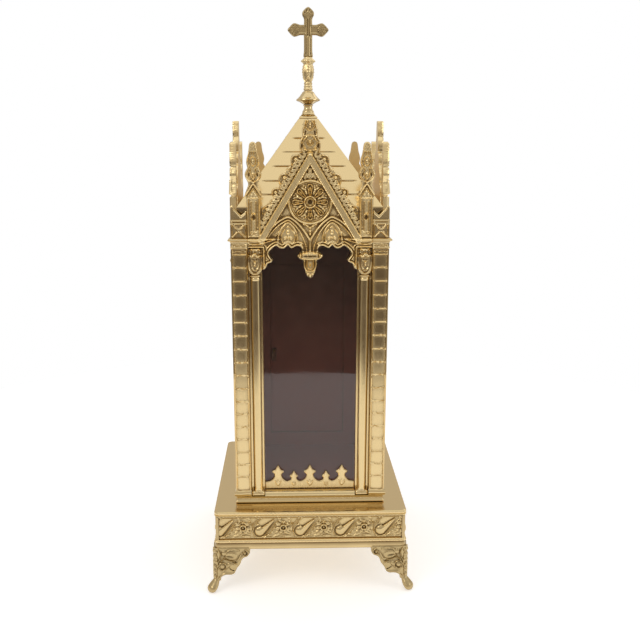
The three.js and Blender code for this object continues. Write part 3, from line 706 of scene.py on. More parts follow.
def gable_mesh():
    """The casting of one gable: its outline, its sunk and raised fields, and its ornament."""
    depth = within(half_outline(GABLE_EDGE, 248, 361.4))
    r = Relief((0, 245.5), (48.5, 362.5), 0.34, mirror=True)
    leafy = r.Z > ABACUS_TOP
    beside_rake = r.X * (RAKE_APEX - ABACUS_TOP) + (r.Z - RAKE_APEX) * RAKE_FOOT > 0
    for raised in (beside_rake & leafy, r.Z > 339, (r.X > PINNACLE_X - 5) & leafy):
        r.h[raised] += 0.6
    r.h += 0.12 * np.sin(r.X * 2.9) * np.sin(r.Z * 2.6)
    edge = depth(r.X, r.Z)
    cusps = (r.Z < ABACUS_TOP) & (r.X > 5) & (r.X < 36)
    for inset, width, top in [(0.95, 0.8, 2.0), (2.9, 0.6, 1.4)]:
        bead = top * np.sqrt(np.clip(1 - ((edge - inset) / width) ** 2, 0, 1))
        r.h = np.where(cusps, np.maximum(r.h, bead), r.h)
    for draw in (draw_spandrels, draw_rose, draw_lancets, draw_crockets, draw_rakes, draw_finial,
                 draw_pinnacles, draw_string_course, draw_pendant):
        draw(r)
    return casting("gable", r, depth, GABLE_FACE - 0.4, GABLE_BACK)


# ---- Corner posts ----
POST_WIDTH = TOWER_HALF - POST_IN
RUNG_PITCH = 10.4
RUNG_COUNT = 17


def post_relief():
    """Both outer faces of a post, unrolled: across from its corner edge, and up."""
    r = Relief((0, POST_LOW), (POST_WIDTH, CEILING - 0.3), 0.33)
    panel = -0.7
    r.h += panel
    rungs = [SILL_TOP + 12.4 + RUNG_PITCH * k for k in range(RUNG_COUNT)]
    for z in rungs + [ABACUS_LOW - 4.6, ABACUS_LOW - 2.4]:
        rise = RNG.uniform(-0.35, 0.35, 4) + z
        places = list(zip([1.1, 4.6, 8.2, POST_WIDTH - 0.9], rise))
        r.line(places, RNG.uniform(0.45, 0.55), panel + 0.8, base=panel)
    block_low, block_top = ABACUS_TOP + 0.8, ABACUS_TOP + 10.8
    each(r.bar, [
        ((0.75, SILL_TOP), (0.75, CEILING), 0.6, 0.2),
        ((POST_WIDTH - 0.6, SILL_TOP), (POST_WIDTH - 0.6, CEILING), 0.6, 0.2),
        ((1.6, block_low), (10.6, block_top), 0.75, 0.3), ((10.6, block_low), (1.6, block_top), 0.75, 0.3),
        ((0.6, block_top), (POST_WIDTH - 0.4, block_top), 0.8, 0.3),
        ((0.6, CEILING - 0.9), (POST_WIDTH - 0.4, CEILING - 0.9), 0.8, 0.3),
        ((-4, ABACUS_TOP - 1.2), (POST_WIDTH + 4, ABACUS_TOP - 1.2), 1.3, 2.1),
        ((-4, ABACUS_LOW + 0.5), (POST_WIDTH + 4, ABACUS_LOW + 0.5), 0.8, 0.5)], base=panel)
    r.dome((6.1, (block_low + block_top) / 2), 1.8, 1.8, 0.5, base=panel)
    rise = (r.Z - ABACUS_LOW) / (ABACUS_TOP - ABACUS_LOW)
    collar = (rise > 0) & (rise < 0.9)
    r.h[collar] = np.maximum(r.h[collar], -0.1 + 2.1 * rise[collar] ** 3)
    for start, end in [(0.4, 1.5), (1.6, 3.0)]:
        r.line([(1.2, ABACUS_LOW + start + 0.9), (5.6, ABACUS_LOW + end + 0.7),
                (9.4, ABACUS_LOW + start + 0.6), (POST_WIDTH + 1, ABACUS_LOW + end + 0.8)], 0.4, 0.5,
                base=-0.1)
    r.line([(-4, POST_LOW + 2.5), (4, POST_LOW + 2.3), (9, POST_LOW + 2.6), (POST_WIDTH + 4, POST_LOW + 2.2)],
           2.6, 1.1, base=-0.6)
    return r


def post_shaft(relief):
    """The post as one body: its two outer faces in relief, and two plain inner ones."""
    h = relief.h
    shade = hollowness(h, relief.step)
    loops, shades = [], []
    for j, z in enumerate(relief.z):
        reach = TOWER_HALF + h[:, j]
        inward = np.where(relief.x < relief.step / 2, reach[0], TOWER_HALF - relief.x)
        face = np.column_stack([inward, -reach])
        side = np.column_stack([reach, -inward])[1:]
        loops.append(level(np.concatenate([face[::-1], side, [(POST_IN, -POST_IN)]]), z))
        shades.append(np.concatenate([shade[::-1, j], shade[1:, j], [0]]))
    mesh = loft("post", loops, smooth_below=50)
    set_hollow(mesh, np.concatenate(shades))
    return mesh


def crown_wall():
    """One notched wall of a post's crown."""
    edge = np.array([(POST_IN, CEILING - 0.6), (TOWER_HALF, CEILING - 0.6), (TOWER_HALF, CROWN_TOP - 1),
                     (57, CROWN_TOP), (54.4, 297), (50.6, 293.3), (48.4, 295), (POST_IN, 297)])
    r = Relief((POST_IN - 1, CEILING - 1), (TOWER_HALF + 1, CROWN_TOP + 1), 0.33)
    r.line([(TOWER_HALF - 0.9, CEILING), (TOWER_HALF - 0.9, 298.6), (57, 298.9), (50.6, 292), (47.2, 295)],
           0.6, 0.5)
    return casting("crown", r, within(edge), TOWER_HALF - 0.5, TOWER_HALF - 2, 0.3)


def corner_pair(make, name):
    """The same casting on a corner's two faces: one faces -Y, and its mirror image faces +X."""
    front = make()
    return [front, quarter_turned(mirrored(front, name))]


def post_mesh():
    return joined("post", [post_shaft(post_relief())] + corner_pair(crown_wall, "crown_side"))


# ---- Engaged columns ----
COLUMN_X, COLUMN_Y, COLUMN_R = 40.9, 54, 3.7
JAMB_FACE, JAMB_BACK, JAMB_RIGHT = 52.2, 50.2, POST_IN - 0.3
CAPITAL_LOW = 247.2


def column_shaft():
    """A round shaft in front of its jamb strip, with a ring under the capital."""
    start = 180 - math.degrees(math.asin((COLUMN_Y - JAMB_FACE) / COLUMN_R))
    behind = [(JAMB_RIGHT, -JAMB_BACK), (OPENING_HALF, -JAMB_BACK), (OPENING_HALF, -JAMB_FACE + 0.3),
              (OPENING_HALF + 0.3, -JAMB_FACE)]
    loops = []
    for z, extra in [(SILL_TOP - 0.5, 0.3), (SILL_TOP + 0.6, 0.15), (SILL_TOP + 1.4, 0), (SILL_TOP + 2.2, 0),
                     (CAPITAL_LOW - 3, 0), (CAPITAL_LOW - 2.2, 0), (CAPITAL_LOW - 1.8, 0.3),
                     (CAPITAL_LOW - 1.2, 0.3), (CAPITAL_LOW - 0.8, 0), (CAPITAL_LOW, 0), (COLUMN_TOP, 0)]:
        shaft = arc((COLUMN_X, -COLUMN_Y), COLUMN_R + extra, start, 540 - start, 40)
        loops.append(level(np.concatenate([behind, shaft, [(JAMB_RIGHT, -JAMB_FACE)]]), z))
    return loft("column", loops)


def column_foot():
    """The pad under a shaft, with a rounded front and a chamfered top."""
    loops = []
    for inset, z in [(0.6, POST_LOW), (0.1, POST_LOW + 0.4), (0, POST_LOW + 1.4), (0.3, SILL_TOP - 1.4),
                     (0.9, SILL_TOP - 0.5), (1.6, SILL_TOP)]:
        front = COLUMN_Y + COLUMN_R + 0.3 - inset
        a, b = OPENING_HALF + inset * 0.6, JAMB_RIGHT - inset * 0.3
        loops.append(level([(b, -JAMB_BACK), (a, -JAMB_BACK), (a, -front + 1.2), (a + 0.4, -front + 0.4),
                            (a + 1.3, -front), (b - 1.3, -front), (b - 0.4, -front + 0.4),
                            (b, -front + 1.2)], z))
    return loft("column_foot", loops, smooth_below=30)


def capital_relief():
    """A bead in a big rounded leaf under a ring of curled tips, seen from in front."""
    r = Relief((-7.4, CAPITAL_LOW - 1), (7.4, COLUMN_TOP + 1), 0.25)
    for z, width, top in [(CAPITAL_LOW + 0.9, 0.9, 0.9), (CAPITAL_LOW + 2.5, 0.4, 0.4),
                          (COLUMN_TOP - 0.9, 0.9, 0.6)]:
        r.bar((-9, z), (9, z), width, top)
    leaf = [(-5.0, 263), (-5.1, 258), (-4.3, 253.6), (-2.6, 250.9), (0, 250), (2.6, 250.9), (4.3, 253.6),
            (5.1, 258), (5.0, 263)]
    r.curves([(leaf, 1.0, 1.5), ([(x * 0.55, 0.8 * (z - 250) + 252.3) for x, z in leaf], 0.5, 0.9)])
    r.dome((0, 257.6), 0.8, 2.3, 1.8)
    each(r.dome, [((-1.6, 260.4), 0.6, 0.8, 0.9), ((1.6, 260.4), 0.6, 0.8, 0.9)], cut=True)
    r.line([(-5.2, 262.4), (-3.4, 263.6), (-1.6, 262.8), (0.2, 265), (1.8, 263), (3.6, 264), (5.2, 262.2)],
           0.85, 1.7)
    r.dome((0.2, 264.4), 1.7, 1.2, 2.0)
    for x in (-3.3, -1.1, 1.2, 3.4):
        r.bar((x, 265.2), (x * 1.05, 268), 0.5, 0.9)
    return r


def capital():
    """The capital's body, flat behind where it meets the jamb."""
    relief = capital_relief()
    rows = np.arange(CAPITAL_LOW, COLUMN_TOP + 0.01, 0.33)
    body = np.interp(rows, [CAPITAL_LOW, 249, 252, 256, 261, 263.6, 265, 267.4, COLUMN_TOP],
                     [4.0, 3.9, 4.4, 4.7, 4.7, 4.5, 3.8, 4.0, 4.8])
    angles = np.arange(84) / 84 * TURN
    outward = np.clip(-1.6 * np.sin(angles) + 0.4, 0, 1)
    hollow = hollowness(relief.h, relief.step, 1.0)
    loops, shades = [], []
    for radius, z in zip(body, rows):
        column = np.round((radius * np.cos(angles) - relief.x[0]) / relief.step).astype(int)
        i = np.clip(column, 0, len(relief.x) - 1)
        j = min(int(round((z - relief.z[0]) / relief.step)), len(relief.z) - 1)
        r = radius + relief.h[i, j] * outward
        y = np.minimum(-COLUMN_Y + r * np.sin(angles), -JAMB_BACK - 0.02)
        x = np.minimum(COLUMN_X + r * np.cos(angles), POST_IN - 0.1)
        loops.append(level(np.column_stack([x, y]), z))
        shades.append(hollow[i, j])
    mesh = loft("capital", loops, smooth_below=60)
    set_hollow(mesh, np.concatenate(shades))
    return mesh


def column_mesh():
    return joined("column", [column_shaft(), column_foot(), capital()])


# ---- Tower base, cresting and plinth ----
def tower_base_mesh():
    """A bead and cove skirt, and on it the four sills with their double roll."""
    skirt = square_moulding("tower_base", [
        (TOWER_HALF - 0.8, BASE_LOW, 0.6), (TOWER_HALF, BASE_LOW + 0.2, 0.8),
        (TOWER_HALF + 0.3, BASE_LOW + 0.8, 0.9), (TOWER_HALF + 0.1, BASE_LOW + 1.4, 0.8),
        (58.2, BASE_LOW + 1.8, 0.6), (57.9, BASE_LOW + 2.6, 0.5), (57.8, BASE_LOW + 3.9, 0.5),
        (57.9, SKIRT_TOP - 0.3, 0.5), (58.1, SKIRT_TOP, 0.5)])
    section = [(52.4, 3.3), (52.4, -0.6), (57.6, -0.6), (58.0, -0.1), (57.9, 0.4), (57.3, 0.8), (57.0, 1.3),
               (56.5, 2.0), (55.6, 2.7), (54.6, 3.1), (53.4, 3.3)]
    sill = loft("sill", [[(x, -y, SKIRT_TOP + up) for y, up in section] for x in (SILL_HALF, 0, -SILL_HALF)],
                smooth_below=30)
    return joined("tower_base", [skirt] + on_four_sides(sill))


CRESTING_LOW = SKIRT_TOP + 3.3
VALLEY = 81.0  # between two fleurons
BIG_FLEURON = [(6.9, 0), (5.5, 0.5), (4.3, 1.6), (3.2, 3.2), (2.5, 4.9), (2.8, 6.1), (3.9, 7.1), (4.7, 7.8),
               (4.4, 8.9), (3.0, 9.3), (2.1, 9.9), (1.3, 11.6)]
SMALL_FLEURON = [(4.6, 0), (3.1, 0.6), (2.1, 1.9), (2.0, 2.9), (3.1, 4.0), (3.1, 4.9), (1.9, 5.6), (1.2, 6.8)]


def fleuron_edge(x, big):
    """One fleuron's outline from its left foot over its tip to its right foot."""
    side, tip = (BIG_FLEURON, 13.8) if big else (SMALL_FLEURON, 8.9)
    left = [(x - aside, VALLEY + up) for aside, up in side]
    return left + [(x, VALLEY + tip)] + [(x + aside, VALLEY + up) for aside, up in side[::-1]]


def cresting_mesh():
    """A strip of large and small fleurons with bevelled edges and a faint leaf on each stem."""
    half, foot = SILL_HALF, VALLEY - 0.4
    r = Relief((-half - 1, CRESTING_LOW - 1), (half + 1, VALLEY + 15), 0.3)
    r.h += 0.05 * np.sin(r.X * 5.1 + 0.4 * np.sin(r.Z)) + 0.05 * np.sin(r.X * 1.7)
    crown = []
    for k, x in enumerate([-25.4, -12.8, 0, 12.8, 25.4]):
        big = k % 2 == 0
        crown += fleuron_edge(x, big)
        size = 1 if big else 0.65
        for lean in (-28, 0, 28):
            r.leaf((x, VALLEY - 3.4), 5.4 * size, 0.7 * size, 90 + lean, 0.45, 0.0)
    edge = np.array([(half, CRESTING_LOW), (half, foot)] + crown[::-1]
                    + [(-half, foot), (-half, CRESTING_LOW)])
    return casting("cresting", r, within(edge), 51.5, JAMB_BACK)


def lip_ripple(along, z):
    """The worn beading of a rolled edge."""
    strength = 0.26 if LIP_LOW < z < PLINTH_TOP - 1.6 else 0.03
    return strength * np.sin(along * 2.2) * (0.6 + 0.4 * np.sin(along * 0.41 + z))


def plinth_top_mesh():
    """A flat sheet whose edge is rolled into two beads."""
    half, top, lip = PLINTH_HALF, PLINTH_TOP, LIP_LOW
    return square_moulding("plinth_top_plate", [
        (69, top - 1.2, 2), (half - 2.1, top - 1.2, 2.4), (half - 2.1, lip, 2.4), (half - 0.9, lip, 3.4),
        (half - 0.2, lip + 0.3, 3.8), (half, lip + 0.8, 4), (half - 0.2, lip + 1.4, 3.8),
        (half - 0.75, lip + 1.75, 3.6), (half - 0.75, lip + 2.0, 3.6), (half - 0.1, lip + 2.4, 3.9),
        (half, lip + 3.0, 4), (half - 0.15, lip + 3.6, 3.9), (half - 0.6, top - 0.25, 3.6),
        (half - 1.3, top - 0.02, 3.2), (half - 2.4, top, 2.8), (69, top, 2)], per_side=200,
        swell=lip_ripple, smooth_below=35)


def bead_ripple(along, z):
    """The worn beading under the friezes."""
    strength = 0.22 if 39.8 < z < 42.6 else 0.03
    return strength * np.sin(along * 2.4 + 1) * (0.6 + 0.4 * np.sin(along * 0.53 + z))


def frame_corner():
    """The plain upright at a plinth corner, between two friezes."""
    edge = 71.6
    outer = arc((71.7, -71.7), 2.5, -90, 0, 8)
    loop = np.concatenate([[(edge, -71.9), (edge, -74.2)], outer, [(74.2, -edge), (71.9, -edge)]])
    corner = loft("corner", [level(loop, z) for z in (42, FRAME_TOP)])
    set_hollow(corner, np.full(len(corner.vertices), 0.45))
    return corner


def plinth_frame_mesh():
    """The plinth's wall with a bead over a cove below it, and a plain upright at each corner. Patina and
    painted shade darken the cove and the underside of the bead, whose crest is rubbed bright."""
    wall = square_moulding("plinth_frame", [
        (70, FRAME_LOW, 2), (73.9, FRAME_LOW, 2.3), (74.6, FRAME_LOW + 0.4, 2.5), (74.7, 35.8, 2.5),
        (74.5, 37.2, 2.5), (74.1, 38.6, 2.4), (74.0, 39.5, 2.4), (74.6, 40.1, 2.6), (75.1, 40.5, 2.8),
        (75.3, 41.2, 3), (75.1, 41.9, 2.9), (74.6, 42.4, 2.7), (73.9, 42.7, 2.5), (73.2, 42.9, 2.3),
        (72.2, FRIEZE_LOW - 0.1, 2), (72.2, FRAME_TOP, 2), (70, FRAME_TOP, 2)], ring=True, per_side=200,
        swell=bead_ripple, smooth_below=35)
    # Patina and painted shade in the cove and under the bead.
    shade_and_patina_at = [(35.2, 0.6), (35.8, 0.25), (37.2, 0.3), (38.6, 0.6), (39.5, 1.0), (40.1, -0.3)]
    set_hollow(wall, np.interp(along_axis(wall, 2), *zip(*shade_and_patina_at)))
    return joined("plinth_frame", [wall] + on_four_sides(frame_corner()))


FRIEZE_PITCH = 31.5


def draw_gadroon(r, x):
    """A leaning drop with a deep slit along its upper side, a border round it, and fronds beside it."""
    def placed(*points):
        return [(x + aside, z) for aside, z in points]

    border = placed((-0.4, 55.2), (-3.9, 53.2), (-5.3, 49.4), (-3.9, 45.4), (0.2, 44.2), (4.2, 46),
                    (7.6, 50.4), (11.6, 55.2), (16.4, 59.8))
    r.line(spline(border, 5), 0.45, 0.95)
    drop = spline(placed((0, 49.3), (3.2, 51.8), (7, 55.2), (11.6, 59)), 6)
    for centre, share in zip(drop, np.linspace(0, 1, len(drop))):
        size = 3.7 * (1 - share) ** 0.8 + 0.3
        r.dome(centre, size, size, 0.7 + 1.5 * (1 - share) ** 0.5)
    r.bar((x + 1.7, 53.6), (x + 10.4, 59.3), 0.8, 1.9, 0.3, cut=True)
    r.line(spline(placed((3.4, 44.2), (8, 47.2), (11, 51.8), (15.8, 57.4)), 5), 0.4, 0.85)
    for k in range(5):
        r.leaf((x + 6.4 + 2.1 * k, 45.8 + 2.8 * k), 3.2, 0.6, -14 + 8 * k, 0.8, 0.1)
    for k in range(3):
        r.leaf((x + 10.2 + 1.3 * k, 44.4 + 3.0 * k), 4.0, 0.7, 30 + 6 * k, 0.8, 0.1)
    for dx, dz in [(0, 0), (2.2, 0.6)]:
        plume = [(x - 7.6 + dx, 47.6 + dz), (x - 6.8 + dx, 52), (x - 3.8 + dx, 57), (x - 0.6 + dx, 60.4)]
        r.line(spline(plume, 4), 0.42, 0.85)


def draw_flower(r, x):
    """A ringed flower with soft petals, a notch over it and fronds round it."""
    z = 52.2
    for k in range(7):
        a = math.radians(90 + 51.4 * k)
        r.dome((x + 4.3 * math.cos(a), z + 4.3 * math.sin(a)), 1.5, 1.3, 1.0, 90 + 51.4 * k)
    r.line([(x - 2.4, z + 3.2), (x, z + 5.4), (x + 2.4, z + 3.2)], 0.5, 1.4)
    each(r.ring, [((x, z), 2.3, 0.8, 1.9), ((x + 5.6, z + 3.8), 1.5, 0.4, 0.85)])
    each(r.dome, [((x, z), 0.9, 0.9, 1.4), ((x + 5.6, z + 3.8), 0.7, 0.7, 0.9)])
    for aside, root_z, length, angle in [
            (6.0, 44.8, 8.0, 176), (5.8, 46.4, 6.2, 160), (5.4, 48.0, 4.6, 142), (-6.4, 45.2, 4.6, 22),
            (-3.8, 60.4, 4.2, -62), (2.8, 60.8, 4.4, -30), (6.6, 49.8, 3.6, 100), (-5.2, 56.8, 3.6, -75)]:
        r.leaf((x + aside, root_z), length, 0.8, angle, 0.8, 0.1)


def frieze_mesh():
    """One embossed strip: leaning drops and flowers by turns."""
    half = FRIEZE_HALF
    r = Relief((-half - 0.6, FRIEZE_LOW - 0.6), (half + 0.6, FRIEZE_TOP + 0.6), 0.36)
    for k in range(5):
        x = -71.2 + FRIEZE_PITCH * k
        draw_gadroon(r, x)
        draw_flower(r, x + 18.4)
    for z in (FRIEZE_TOP - 0.4, FRIEZE_LOW + 0.4):
        r.bar((-half, z), (half, z), 0.6, 0.8)

    def depth(x, z):
        return np.minimum(np.minimum(half - np.abs(x), z - FRIEZE_LOW), FRIEZE_TOP - z)

    return casting("frieze", r, depth, FRIEZE_BACK + 0.25, FRIEZE_BACK - 0.3, 0.2)


# ---- Feet ----
FOOT_PLANE = 75.1
FOOT_CORNER = FOOT_PLANE + 0.4
FOOT_TOP = 36.4
FOOT_EDGE = [
    (FOOT_CORNER, FOOT_TOP), (FOOT_CORNER, FOOT_TOP), (48.4, FOOT_TOP), (48.4, FOOT_TOP), (47.4, 33.9),
    (47.9, 31.1), (49.8, 28.6), (52.3, 27.7), (54.1, 25.7), (55.4, 22.1), (57.5, 19.2), (58.9, 16.5),
    (60.2, 14.2), (62.4, 13), (66.1, 13), (68.8, 12.2), (70.8, 10.4), (71.8, 7.8), (71.8, 7.8),
    (FOOT_CORNER, 8.4), (FOOT_CORNER, 8.4), (FOOT_CORNER, 20), (FOOT_CORNER, FOOT_TOP),
]


def foot_arm():
    """One face of a foot: a scroll at its end, a sunk oval, a round boss and a leafy stem by the corner."""
    r = Relief((46.5, 6.5), (77, 37.4), 0.3)
    r.h += 0.45
    r.scroll((51.6, 31.6), 3.0, 100, 1.3, 0.7, 1.4)
    r.curves([([(56.2, 34.2), (60, 35), (64.6, 34.2), (66.4, 32), (65.6, 29.4)], 0.75, 1.4),
              ([(54.4, 31), (56.8, 26.4), (58.6, 24.8)], 0.8, 1.3),
              ([(66.8, 26.6), (63.6, 25.4), (60.4, 24.6), (58.6, 22.6)], 0.55, 1.5),
              ([(72.2, 35.6), (70.8, 31.6), (71, 28), (73, 23.4), (74, 17.4), (73.4, 11)], 0.6, 1.5),
              ([(67, 29), (68.6, 26.6), (71.4, 24.2)], 0.55, 1.3),
              ([(59.8, 15), (63.6, 14.5), (67.4, 14.4), (70.4, 12.6), (72.6, 9.4)], 0.8, 1.1)])
    r.dome((62.2, 29.6), 5.4, 4.0, 1.2, 12, flat=0.8)
    r.dome((63.2, 28.8), 3.0, 1.1, 0.8, 10, cut=True)
    r.dome((60.6, 20.4), 3.4, 3.9, 1.3, 20)
    each(r.bar, [((57.8, 24.4), (61.4, 24.2), 0.5, 1.0), ((60.6, 16.8), (63.2, 18.4), 0.45, 0.8)], cut=True)
    r.ring((69.4, 20.4), 3.3, 0.65, 1.4)
    each(r.dome, [((69.4, 20.6), 2.2, 2.4, 1.3), ((68, 32), 2.0, 2.6, 1.4), ((64.6, 21.6), 1.5, 2.6, 1.4, 30),
                  ((73.8, 33.2), 1.3, 1.4, 1.4)])
    r.leaf((74.0, 22), 9.6, 1.2, 90, 1.3, 0.45)
    each(r.dome, [((74.9, z), 1.1, 1.9, 1.5) for z in (11.5, 16, 20.5, 25, 29.5, 34)])
    r.h *= 1.25
    return casting("foot", r, within(spline(FOOT_EDGE, 4)), FOOT_PLANE - 0.2, 70.8, 0.6)


def foot_toe():
    """The ankle and the flattened toe that points out along the diagonal. Its path is given in the plane
    that holds the diagonal, as (x, z), and each section as its half width and half thickness."""
    path = spline([(73.2, 16), (73.6, 12.2), (74.2, 9.0), (75.8, 5.8), (77.7, 3.2), (79.0, 2.2),
                   (79.8, 1.9)], 4)
    sizes = spline([(2.4, 2.2), (2.4, 2.3), (2.6, 2.4), (3.9, 3.0), (4.3, 3.1), (3.2, 2.2), (0.5, 0.4)], 4)
    diagonal = math.sqrt(2)
    out, side = np.array([1, -1, 0]) / diagonal, np.array([1, 1, 0]) / diagonal
    angles = np.arange(28) / 28 * TURN
    loops = []
    for k, ((at, z), (wide, thick)) in enumerate(zip(path, sizes)):
        ahead, behind = path[min(k + 1, len(path) - 1)], path[max(k - 1, 0)]
        run = np.array([(ahead[0] - behind[0]) * diagonal, ahead[1] - behind[1]])
        run /= np.linalg.norm(run)
        normal = out * -run[1] + np.array([0, 0, run[0]])
        loop = (np.array([at, -at, z]) + np.outer(np.cos(angles) * wide, side)
                + np.outer(np.sin(angles) * thick, normal))
        loop[:, 2] = np.maximum(loop[:, 2], 0.02)
        loops.append(loop)
    return loft("toe", loops, smooth_below=50)


def foot_lug():
    """The block behind a foot's arms that takes its screw."""
    loop = [(71.4, -54), (54, -54), (54, -71.4), (71.4, -71.4)]
    return loft("lug", [level(loop, z) for z in (30.5, 34.2)])


def foot_mesh():
    return joined("foot", corner_pair(foot_arm, "foot_side") + [foot_toe(), foot_lug()])


# ---- Roof and cross ----
COURSES = [307.7, 317.3, 327.8, 338.1, 348.5, 358.8]
ROOF_SLOPE = 1.383
EAVES = 298.9


def course_relief(along, z):
    """Each course is a lip over a fine groove that dies out before the hips, with faint joints below it."""
    half = ROOF_HALF - max(z - EAVES, 0) / ROOF_SLOPE
    fade = np.clip((half - 5.0 - np.abs(along)) / 2.5, 0, 1)
    rise = np.zeros_like(along)
    for course in COURSES:
        rise += (0.32 * np.exp(-((z - course - 0.8) / 0.7) ** 2)
                 - 0.6 * np.exp(-((z - course + 0.4) / 0.4) ** 2))
        joint = np.exp(-((np.mod(along + course, 3.1) - 1.55) / 0.3) ** 2)
        rise -= 0.16 * joint * math.exp(-((z - course + 2.4) / 1.1) ** 2)
    return rise * fade


def roof_mesh():
    """A thin four-sided pyramid on a short upright eaves band."""
    top_half = ROOF_HALF - (ROOF_TOP - EAVES) / ROOF_SLOPE
    outside = [(ROOF_HALF - 0.3, ROOF_LOW, 0.4), (ROOF_HALF, ROOF_LOW + 0.5, 0.5),
               (ROOF_HALF, EAVES - 0.4, 0.5)]
    for z in np.arange(EAVES, ROOF_TOP, 0.42):
        outside.append((ROOF_HALF - (z - EAVES) / ROOF_SLOPE, z, 0.5))
    outside.append((top_half, ROOF_TOP, 0.5))
    inside = [(top_half - 1.4, ROOF_TOP, 0.3), (ROOF_HALF - 1.8, EAVES, 0.3),
              (ROOF_HALF - 1.8, ROOF_LOW, 0.3)]

    def swell(along, z):
        return course_relief(along, z) if EAVES < z < ROOF_TOP - 0.2 else np.zeros_like(along)

    return square_moulding("roof", outside + inside, ring=True, per_side=70, swell=swell, smooth_below=45)


def lifted(profile, z):
    """A profile whose heights, second in each row, are counted from z."""
    return [(size, z + up, *rest) for size, up, *rest in profile]


def apex_cap_mesh():
    """A square sheet foot that sweeps up into a round neck."""
    z = ROOF_TOP + 0.3
    foot = square_moulding("apex_cap", lifted([(6.9, 0, 0.4), (7.2, 0.4, 0.5), (6.9, 1.1, 0.6),
                                               (5.8, 2.2, 1.2), (4.9, 3.4, 2), (4.4, 5, 3)], z))
    neck = turned("neck", lifted([(4.2, 2.6), (4.5, 4.8), (4.4, 5.6), (3.7, 6.4), (3.2, 8), (3.3, 9.4),
                                  (3.9, 10), (3.9, 10.4)], z), 48)
    return joined("apex_cap", [foot, neck])


def collar_mesh():
    """The round knop under the baluster."""
    return turned("collar", lifted([
        (3.4, 0), (4.2, 0.5), (6.8, 2.0), (8.8, 2.7), (9.3, 3.2), (9.2, 3.8), (8.4, 4.4), (6.6, 6.2),
        (5.4, 7.8), (4.8, 8.6), (4.6, 9.2), (3.9, 9.6), (3.6, 10.1)], low("collar", 2)))


def ridge(z, at, width):
    """How much of a rounded ring of that half width, centred at `at`, lies at height z."""
    return math.exp(-((z - at) / width) ** 2)


def baluster_swell(angles, z):
    """Four upright leaves with beads between them on the belly, a chevron on each side under it, three
    rings at the foot, and a knuckle with four knobs."""
    facing = np.abs(np.mod(angles / TURN * 4 + 0.5, 1) - 0.5)
    leaf = 0.7 * np.exp(-((facing - 0.5) / 0.13) ** 2) * ridge(z, 398.4, 4.6)
    bead = 0.55 * np.exp(-(facing / 0.16) ** 2) * sum(ridge(z, at, 0.8) for at in (402.4, 400.2, 398, 395.9))
    chevron = 0.6 * np.exp(-((394.6 - 9 * facing - z) / 0.55) ** 2)
    rings = 0.45 * sum(ridge(z, at, 0.5) for at in (389.6, 387.6, 385.6))
    knobs = np.exp(-(facing / 0.2) ** 2) * ridge(z, 406.2, 1.1)
    knuckle = 0.18 * np.cos(16 * angles) * ridge(z, 406.2, 1.2)
    return leaf + bead + chevron * (z < 394.8) + rings + (knobs + knuckle) - 0.35


def baluster_mesh():
    profile = spline([(3.6, 384.3), (3.7, 385), (3.4, 387), (3.3, 389), (3.3, 391.2), (3.8, 393.6),
                      (4.4, 396.6), (4.6, 399), (4.3, 401.6), (3.9, 403.4), (4.3, 404.8), (4.8, 406.2),
                      (4.3, 407.6), (3.8, 408.4), (3.6, 409)], 6)
    return turned("baluster", profile, 112, baluster_swell, 50)


CROSS_EDGE = [
    (3.6, 409.3), (3.5, 411.6), (3.2, 414), (3.2, 425.3), (3.2, 425.3), (5.9, 425.3), (7.8, 424.8),
    (9.3, 424.3), (10.8, 424.2), (12.3, 425), (14.1, 426.8), (15.7, 429), (14.1, 431.2), (12.3, 433),
    (10.8, 433.8), (9.3, 433.7), (7.8, 433.2), (5.9, 432.7), (3.2, 432.7), (3.2, 432.7), (3.1, 436.2),
    (3.5, 438), (4.3, 439.3), (4.5, 440.8), (4.1, 442.2), (2.9, 443.6), (1.5, 444.9), (0, 445.6),
]


def cross_mesh():
    """A flat cross with a raised spine and shell-ribbed, pointed ends."""
    depth = within(half_outline(CROSS_EDGE, 409.3, 445.6))
    r = Relief((0, 408.6), (16.6, 446.4), 0.26, mirror=True)
    r.h = 0.45 * np.sqrt(np.clip(1 - ((depth(r.X, r.Z) - 0.9) / 0.8) ** 2, 0, 1)) + 0.3
    each(r.bar, [((0, 410), (0, 423.4), 1.7, 1.3), ((0, 425), (0, 438), 0.5, 1.1),
                 ((1.5, 425), (1.2, 438), 0.5, 0.9), ((3.6, 426.2), (7, 426.2), 0.45, 0.9),
                 ((3.6, 431.8), (7, 431.8), 0.45, 0.9)])
    for k in range(-2, 3):
        r.leaf((7.6, 429), 7.4 - abs(k), 1.1, 24 * k, 0.95, 0.4)
        r.leaf((0, 437), 7.8 - abs(k) * 1.2, 1.0, 90 + 20 * k, 0.95, 0.4)
    return casting("cross", r, depth, 1.0, -1.0, 0.4, both_sides=True)


# ---- Materials ----
def feed(tree, node, inputs):
    """Links or sets a node's inputs, by name or number."""
    for key, value in inputs.items():
        if isinstance(value, bpy.types.NodeSocket):
            tree.links.new(value, node.inputs[key])
        else:
            node.inputs[key].default_value = value


def add_node(tree, kind, inputs=None, **settings):
    """A shader node with its settings and its inputs."""
    node = tree.nodes.new(kind)
    for key, value in settings.items():
        setattr(node, key, value)
    feed(tree, node, inputs or {})
    return node


def ramp(tree, factor, stops):
    """A colour ramp through (position, colour) stops."""
    node = add_node(tree, "ShaderNodeValToRGB", {"Fac": factor})
    while len(node.color_ramp.elements) < len(stops):
        node.color_ramp.elements.new(0.5)
    for element, (position, colour) in zip(node.color_ramp.elements, stops):
        element.position = position
        element.color = (*colour, 1)
    return node.outputs["Color"]


def grey(*stops):
    """Colour stops from (position, brightness) pairs."""
    return [(position, (value, value, value)) for position, value in stops]


